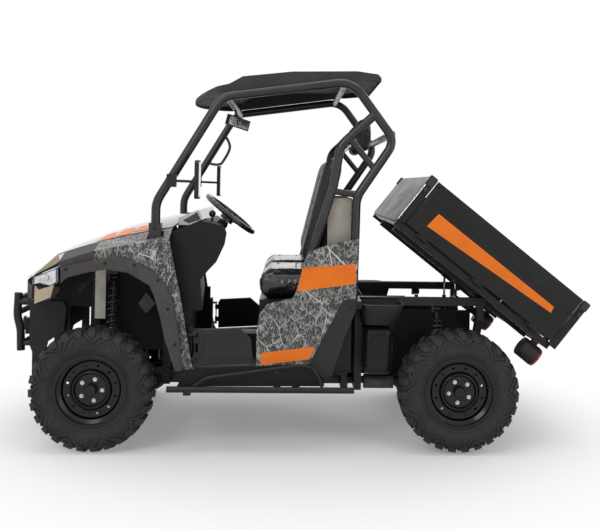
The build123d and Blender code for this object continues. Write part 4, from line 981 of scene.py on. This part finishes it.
# Bolts along the flares, trims and brackets
bodyBoltLook = {"radius": 0.0065, "height": 0.0035, "sides": 12}
bodyBolts = {  # how far out each row sits, and its bolts seen from the side
    "flare": (0.722, ((-1.185, 0.939), (-0.987, 0.974), (-0.838, 0.965), (-0.717, 0.890), (-0.663, 0.742),
                      (-0.625, 0.560))),
    "trim": (0.693, ((0.282, 0.757), (0.165, 0.41))),
    "sill": (0.692, ((-0.58, 0.40), (-0.38, 0.405), (-0.10, 0.415))),
    "cage": (0.648, ((-0.749, 1.108), (-0.749, 1.152))),
}
places = [((x, side * y, z), (0, side, 0))
          for side in (-1, 1) for y, row in bodyBolts.values() for x, z in row]
bolts("bodyBolts", places, "chassis", finishes["frame_paint"], **bodyBoltLook)
print("bolts done")

# Hood: orange film strokes laid on its crown
hoodNode = frame["nodes"]["hood"]
hoodSkin = BVHTree.FromPolygons([hoodNode.matrix_world @ v.co for v in hoodNode.data.vertices],
                                [f.vertices for f in hoodNode.data.polygons])
hoodLook = {
    "above": 2, "film": 0.0012, "along": 12, "across": 8,
    "strokes": (  # length and half width of each stroke's four corners
        ((-1.070, 0.535), (-0.985, 0.538), (-1.000, 0.340), (-1.055, 0.310)),
        ((-0.980, 0.538), (-0.890, 0.540), (-0.895, 0.360), (-0.960, 0.310)),
        ((-0.885, 0.510), (-0.785, 0.530), (-0.780, 0.410), (-0.870, 0.370))),
}


def hoodStroke(bm, side, corners):
    a, b, c, d = (Vector((x, side * y, hoodLook["above"])) for x, y in corners)
    rows = []
    for v in range(hoodLook["across"] + 1):
        down = v / hoodLook["across"]
        row = []
        for u in range(hoodLook["along"] + 1):
            part = u / hoodLook["along"]
            top = hoodSkin.ray_cast(a.lerp(b, part).lerp(d.lerp(c, part), down), Vector((0, 0, -1)))[0]
            row.append(bm.verts.new(top + Vector((0, 0, hoodLook["film"]))))
        rows.append(row)
    for one, two in zip(rows, rows[1:]):
        for k in range(hoodLook["along"]):
            bm.faces.new((one[k], one[k + 1], two[k + 1], two[k]))


bm = bmesh.new()
for side in (-1, 1):
    for corners in hoodLook["strokes"]:
        hoodStroke(bm, side, corners)
bmesh.ops.recalc_face_normals(bm, faces=bm.faces)
newPiece("hoodStrokes", bm, orange, "chassis", 30)

# Instrument cowl: a pale shell with dark ends, and a dark sheet facing the driver that is painted shade
# standing for the cowl's opening there
cowlLook = {
    "half": 0.46, "rounding": 0.003, "endProud": 0.0008, "endSunk": 0.001,
    "shell": [(-0.655, 1.165), (-0.651, 1.204), (-0.546, 1.250), (-0.522, 1.197), (-0.590, 1.165)],
    "end": [(-0.628, 1.190), (-0.549, 1.238), (-0.530, 1.198), (-0.592, 1.176)],
    "panel": ((-0.001, -0.44, -0.024), (0.0012, 0.44, 0.022)), "panelRounding": 0.0005,
    "panelPlace": (-0.534, 0, 1.2235), "panelLean": -24.4,
}
bm = bmesh.new()
plateInto(bm, cowlLook["shell"], -cowlLook["half"], cowlLook["half"], cowlLook["rounding"])
newPiece("cowlShell", bm, whitePlate, "chassis", 40)
bm = bmesh.new()
for side in (-1, 1):
    plateInto(bm, cowlLook["end"], side * (cowlLook["half"] + cowlLook["endProud"]),
              side * (cowlLook["half"] - cowlLook["endSunk"]))
# the thin dark sheet facing the driver is painted shade in the cowl's opening
panelPlace = (Matrix.Translation(cowlLook["panelPlace"])
              @ Matrix.Rotation(math.radians(cowlLook["panelLean"]), 4, "Y"))
boxInto(bm, *cowlLook["panel"], cowlLook["panelRounding"], panelPlace)
newPiece("cowlPanel", bm, darkFilmAndShade, "chassis", 40)
print("hood and cowl done")

# Headlights: clear shell over a bright reflector in a dark housing
lampLook = {
    "outline": [(-1.388, 0.884), (-1.262, 0.938), (-1.260, 0.860), (-1.290, 0.838), (-1.358, 0.852),
                (-1.392, 0.846)],
    "lens": (0.588, 0.570), "housing": (0.5695, 0.441), "reflector": (0.5775, 0.5700),  # out to in
    "bowls": ((-1.322, 0.882, 0.021), (-1.357, 0.871, 0.012)), "bowlFaces": (0.574, 0.584), "bowlTaper": 0.8,
    "ribs": 5, "ribPitch": 0.011, "ribX": (-1.301, -1.291), "ribY": (0.576, 0.582), "ribZ": (0.862, 0.868),
}


def shrink(outline, by):
    cx = sum(x for x, _ in outline) / len(outline)
    cz = sum(z for _, z in outline) / len(outline)
    return [(x + (cx - x) * by, z + (cz - z) * by) for x, z in outline]


shell, housing, reflector = bmesh.new(), bmesh.new(), bmesh.new()
(x0, x1), (y0, y1), (z0, z1) = (lampLook[key] for key in ("ribX", "ribY", "ribZ"))
for side in (-1, 1):
    for bm, key, smaller, bevel in ((shell, "lens", 0.0, 0.003), (housing, "housing", 0.02, 0.0),
                                    (reflector, "reflector", 0.16, 0.002)):
        outer, inner = lampLook[key]
        plateInto(bm, shrink(lampLook["outline"], smaller), side * outer, side * inner, bevel)
    for x, z, r in lampLook["bowls"]:
        bowlEnds = [(x, side * y, z) for y in lampLook["bowlFaces"]]
        rodInto(reflector, *bowlEnds, r, r * lampLook["bowlTaper"], 28, 0.002)
    for k in range(lampLook["ribs"]):
        up = lampLook["ribPitch"] * k
        sideBox(reflector, side, (x0, y0, z0 + up), (x1, y1, z1 + up), 0.001)
lensPiece = newPiece("headlightLenses", shell, finishes["lens"], "chassis", 40)
newPiece("headlightHousings", housing, finishes["dark_plastic"], "chassis", 40)
newPiece("headlightReflectors", reflector, finishes["chrome_rod"], "chassis", 40)
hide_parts("headlights")
print("headlights done")

# Nose: a bronze film on the side beside the hood corner, which is a painted reflection, a dark brow beside
# the hood, and a bronze bezel on the slanting face below the lamp
noseLook = {
    "side": [(-1.383, 0.897), (-1.270, 1.002), (-1.263, 0.985), (-1.263, 0.962), (-1.300, 0.940)],
    "brow": [(-1.390, 0.889), (-1.383, 0.897), (-1.300, 0.940), (-1.263, 0.962), (-1.263, 0.941),
             (-1.388, 0.886)],
    "bezel": [(-1.390, 0.838), (-1.364, 0.816), (-1.270, 0.847), (-1.290, 0.780), (-1.392, 0.738)],
    "sideFaces": (0.5530, 0.5480), "browFaces": (0.5560, 0.5480),
    "slantStart": (-1.408, 0.524), "slant": 0.647, "proud": 0.0012,
}
bronze, brow = bmesh.new(), bmesh.new()
startX, startY = noseLook["slantStart"]
for side in (-1, 1):
    outer, inner = noseLook["sideFaces"]
    # the bronze side film beside the hood corner is a painted reflection, not a trim
    plateInto(bronze, noseLook["side"], side * outer, side * inner)
    outer, inner = noseLook["browFaces"]
    plateInto(brow, noseLook["brow"], side * outer, side * inner, 0.001)
    way = Vector((-noseLook["slant"], side, 0)).normalized() * noseLook["proud"]
    bezel = [Vector((x, side * (startY + noseLook["slant"] * (x - startX)), z)) + way
             for x, z in noseLook["bezel"]]
    bronze.faces.new([bronze.verts.new(p) for p in bezel])
bmesh.ops.recalc_face_normals(bronze, faces=bronze.faces)
newPiece("noseTrims", bronze, finishes["warm_bronze"], "chassis", 40)
newPiece("noseBrows", brow, finishes["frame_paint"], "chassis", 40)

# Winch rope wound on its drum, and the red tow hook
ropeLook = {"drum": (-1.519, -0.088, 0.560), "wound": 0.0375, "pitch": 0.0055, "turns": 32, "steps": 16,
            "rope": 0.0028}
hookLook = {"centre": (-1.572, -0.060, 0.575), "ring": 0.026, "bar": 0.006, "steps": 28}
bm = bmesh.new()
x, y, z = ropeLook["drum"]
turns = [(x + ropeLook["wound"] * math.cos(a), y + ropeLook["pitch"] * a / (2 * math.pi),
          z + ropeLook["wound"] * math.sin(a))
         for a in [2 * math.pi * k / ropeLook["steps"] for k in range(ropeLook["steps"] * ropeLook["turns"])]]
sweepInto(bm, turns, ropeLook["rope"], 6)
newPiece("winchRope", bm, finishes["bare_steel"], "chassis", 50)
bm = bmesh.new()
x, y, z = hookLook["centre"]
ring = [(x, y + hookLook["ring"] * math.sin(a), z + hookLook["ring"] * math.cos(a))
        for a in circle(hookLook["steps"])]
sweepInto(bm, ring, hookLook["bar"], 10, closed=True)
newPiece("towHook", bm, finishes["red_lens"], "chassis", 50)

# Side bins behind the side panels: moulded shells with a round lip
binLook = {"front": 0.336, "rear": 0.572, "outer": 0.655, "inner": 0.450, "top": 0.764, "wall": 0.003,
           "lip": 0.0045, "levels": ((0.655, 0.045), (0.70, 0.020), (0.745, 0.004), (0.764, 0.0))}


def squareRing(x0, x1, y0, y1, z, count):  # between a rectangle and an ellipse
    ring = []
    for a in circle(count):
        c, s = math.cos(a), math.sin(a)
        squareness = (abs(c) ** 4 + abs(s) ** 4) ** 0.25
        ring.append(((x0 + x1) / 2 + (x1 - x0) / 2 * c / squareness,
                     (y0 + y1) / 2 + (y1 - y0) / 2 * s / squareness, z))
    return ring


def sideBin(bm, side):
    rings = []
    for z, pull in binLook["levels"]:
        ring = squareRing(binLook["front"] + pull * 0.4, binLook["rear"] - pull,
                          side * (binLook["inner"] + pull * 0.3), side * (binLook["outer"] - pull), z, 32)
        rings.append([bm.verts.new(p) for p in ring])
    for one, two in zip(rings, rings[1:]):
        for k in range(32):
            bm.faces.new((one[k], one[(k + 1) % 32], two[(k + 1) % 32], two[k]))
    bm.faces.new(rings[0])


bm, lips = bmesh.new(), bmesh.new()
for side in (-1, 1):
    sideBin(bm, side)
    y0, y1 = sorted((side * binLook["inner"], side * binLook["outer"]))
    lip = squareRing(binLook["front"], binLook["rear"], y0, y1, binLook["top"], 48)
    sweepInto(lips, lip, binLook["lip"], 8, closed=True)
bmesh.ops.recalc_face_normals(bm, faces=bm.faces)
bins = newPiece("sideBins", bm, finishes["dark_plastic"], "chassis", 40)
bins.modifiers.new("wall", "SOLIDIFY").thickness = binLook["wall"]
newPiece("binLips", lips, finishes["cage_paint"], "chassis", 50)

# Grab handle on the passenger's front pillar
handleLook = {
    "bar": 0.009, "steps": 6,
    "route": [(-0.505, 0.612, 1.728), (-0.473, 0.606, 1.694), (-0.453, 0.600, 1.646), (-0.461, 0.600, 1.605),
              (-0.490, 0.600, 1.552), (-0.511, 0.600, 1.526), (-0.548, 0.606, 1.521), (-0.596, 0.614, 1.530)],
}
bm = bmesh.new()
sweepInto(bm, smoothRoute(handleLook["route"], handleLook["steps"]), handleLook["bar"], 10)
newPiece("grabHandle", bm, finishes["cage_paint"], "chassis", 50)

# Mirror glass: both side mirrors, and the centre one turned to the driver
mirrorLook = {
    "side": ((-0.5162, 0.653, 1.322), (-0.5148, 0.745, 1.504)),
    "glass": ((-0.0005, -0.097, -0.024), (0.0008, 0.097, 0.024)),
    "centre": (-0.366, 0, 1.760), "tip": 14, "turn": -33, "back": (0.0103, 0, 0),
}
bm = bmesh.new()
for side in (-1, 1):
    sideBox(bm, side, *mirrorLook["side"], 0.0005)
centrePlace = (Matrix.Translation(mirrorLook["centre"])
               @ Matrix.Rotation(math.radians(mirrorLook["tip"]), 4, "Y")
               @ Matrix.Rotation(math.radians(mirrorLook["turn"]), 4, "Z")
               @ Matrix.Translation(mirrorLook["back"]))
boxInto(bm, *mirrorLook["glass"], 0.0004, centrePlace)
newPiece("mirrorGlass", bm, finishes["chrome_rod"], "chassis", 40)

# Front suspension brackets seen in the wheel arch
bracketLook = {"outline": [(-0.822, 0.792), (-0.771, 0.732), (-0.819, 0.677), (-0.866, 0.730)],
               "face": 0.420, "back": 0.414, "bolt": (-0.818, 0.733), "boltRadius": 0.012, "boltHead": 0.004,
              "shelf": ((-0.850, 0.30, 0.700), (-0.800, 0.414, 0.712))}
bm = bmesh.new()
x, z = bracketLook["bolt"]
for side in (-1, 1):
    face, back = side * bracketLook["face"], side * bracketLook["back"]
    plateInto(bm, bracketLook["outline"], face, back, 0.001)
    head = face + side * bracketLook["boltHead"]
    rodInto(bm, (x, back, z), (x, head, z), bracketLook["boltRadius"], None, 20)
    sideBox(bm, side, *bracketLook["shelf"], 0.001)
newPiece("archBrackets", bm, finishes["cage_paint"], "chassis", 40)
print("front details done")


# Stage: pale floor, soft light, camera
stageLook = {
    "floor": 40.0, "paper": 0.93, "near": 1.0, "far": 2.3, "glow": 0.22, "sky": 0.38,
    "lamps": {  # place, what it looks at, size, power
        "keyLight": ((-2.6, -4.6, 3.8), (0, 0, 0.8), (2.6, 2.0), 80),
        "fillLight": ((3.6, -4.2, 2.0), (0.2, 0, 0.8), (2.4, 2.4), 32),
        "rimLight": ((1.5, 4.2, 3.4), (0, 0, 1.0), (4.0, 1.6), 50),
        "topLight": ((0.0, -0.4, 4.6), (0, 0, 0), (4.6, 3.0), 95)},
}
cameraLook = {
    "place": (-0.032, -5.509, 1.389), "turn": -3.17, "roll": 1.08, "sensor": 36,
    "focalPixels": 921, "imageWidth": 600, "shiftX": -0.0733, "shiftY": -0.1292,
}


def lightPanel(name, place, target, size, power):
    data = bpy.data.lights.new(name, "AREA")
    data.shape = "RECTANGLE"
    data.size, data.size_y = size
    data.energy = power
    lamp = bpy.data.objects.new(name, data)
    lamp.location = place
    lamp.rotation_euler = (Vector(target) - Vector(place)).to_track_quat("-Z", "Y").to_euler()
    scene.collection.objects.link(lamp)


def seenBy(tree, *rays):  # 1 for the named kinds of ray, 0 for the rest
    path = tree.nodes.new("ShaderNodeLightPath")
    seen = path.outputs[rays[0]]
    for ray in rays[1:]:
        either = mathNode(tree, "MAXIMUM")
        tree.links.new(seen, either.inputs[0])
        tree.links.new(path.outputs[ray], either.inputs[1])
        seen = either.outputs[0]
    return seen


def paleFloor():  # paper near the object, fading to plain white away from it
    paper = bpy.data.materials.new("paleFloor")
    paper.use_nodes = True
    tree = paper.node_tree
    shader = tree.nodes["Principled BSDF"]
    shader.inputs["Base Color"].default_value = [stageLook["paper"]] * 3 + [1]
    shader.inputs["Roughness"].default_value = 0.6
    shader.inputs["Specular IOR Level"].default_value = 0.1
    spot = tree.nodes.new("ShaderNodeTexCoord")
    away = tree.nodes.new("ShaderNodeVectorMath")
    away.operation = "LENGTH"
    tree.links.new(spot.outputs["Object"], away.inputs[0])
    fade = tree.nodes.new("ShaderNodeMapRange")
    fade.interpolation_type = "SMOOTHSTEP"
    for key, value in (("From Min", "near"), ("From Max", "far"), ("To Min", "glow")):
        fade.inputs[key].default_value = stageLook[value]
    tree.links.new(away.outputs["Value"], fade.inputs["Value"])
    share = mathNode(tree, "MULTIPLY")
    tree.links.new(fade.outputs["Result"], share.inputs[0])
    tree.links.new(seenBy(tree, "Is Camera Ray", "Is Glossy Ray"), share.inputs[1])
    glow = tree.nodes.new("ShaderNodeEmission")
    blend = tree.nodes.new("ShaderNodeMixShader")
    tree.links.new(share.outputs[0], blend.inputs["Fac"])
    tree.links.new(shader.outputs[0], blend.inputs[1])
    tree.links.new(glow.outputs[0], blend.inputs[2])
    tree.links.new(blend.outputs[0], tree.nodes["Material Output"].inputs["Surface"])
    return paper


def studioWorld():  # white to the eye, in mirrors and through glass, dimmer as a light
    world = bpy.data.worlds.new("studio")
    world.use_nodes = True
    tree = world.node_tree
    background = tree.nodes["Background"]
    level = tree.nodes.new("ShaderNodeMapRange")
    level.inputs["To Min"].default_value = stageLook["sky"]
    level.inputs["To Max"].default_value = 1.0
    seen = seenBy(tree, "Is Camera Ray", "Is Transmission Ray", "Is Glossy Ray")
    tree.links.new(seen, level.inputs["Value"])
    tree.links.new(level.outputs["Result"], background.inputs["Strength"])
    background.inputs["Color"].default_value = (1, 1, 1, 1)
    return world


floorMesh = bpy.data.meshes.new("floor")
reach = stageLook["floor"]
corners = [(-reach, -reach, 0), (reach, -reach, 0), (reach, reach, 0), (-reach, reach, 0)]
floorMesh.from_pydata(corners, [], [(0, 1, 2, 3)])
floorMesh.materials.append(paleFloor())
floor = bpy.data.objects.new("floor", floorMesh)
scene.collection.objects.link(floor)
scene.world = studioWorld()
for name, (place, target, size, power) in stageLook["lamps"].items():
    lightPanel(name, place, target, size, power)

lens = bpy.data.cameras.new("camera")
lens.sensor_width = cameraLook["sensor"]
lens.lens = cameraLook["focalPixels"] / cameraLook["imageWidth"] * cameraLook["sensor"]
lens.shift_x = cameraLook["shiftX"]
lens.shift_y = cameraLook["shiftY"]
lens.clip_end = 200
camera = bpy.data.objects.new("camera", lens)
camera.matrix_world = (Matrix.Translation(cameraLook["place"])
                       @ Matrix.Rotation(math.radians(cameraLook["turn"]), 4, "Z")
                       @ Matrix.Rotation(math.radians(90), 4, "X")
                       @ Matrix.Rotation(math.radians(cameraLook["roll"]), 4, "Z"))
scene.collection.objects.link(camera)
scene.camera = camera
scene.view_settings.view_transform = "Standard"

print("camera and lights set")
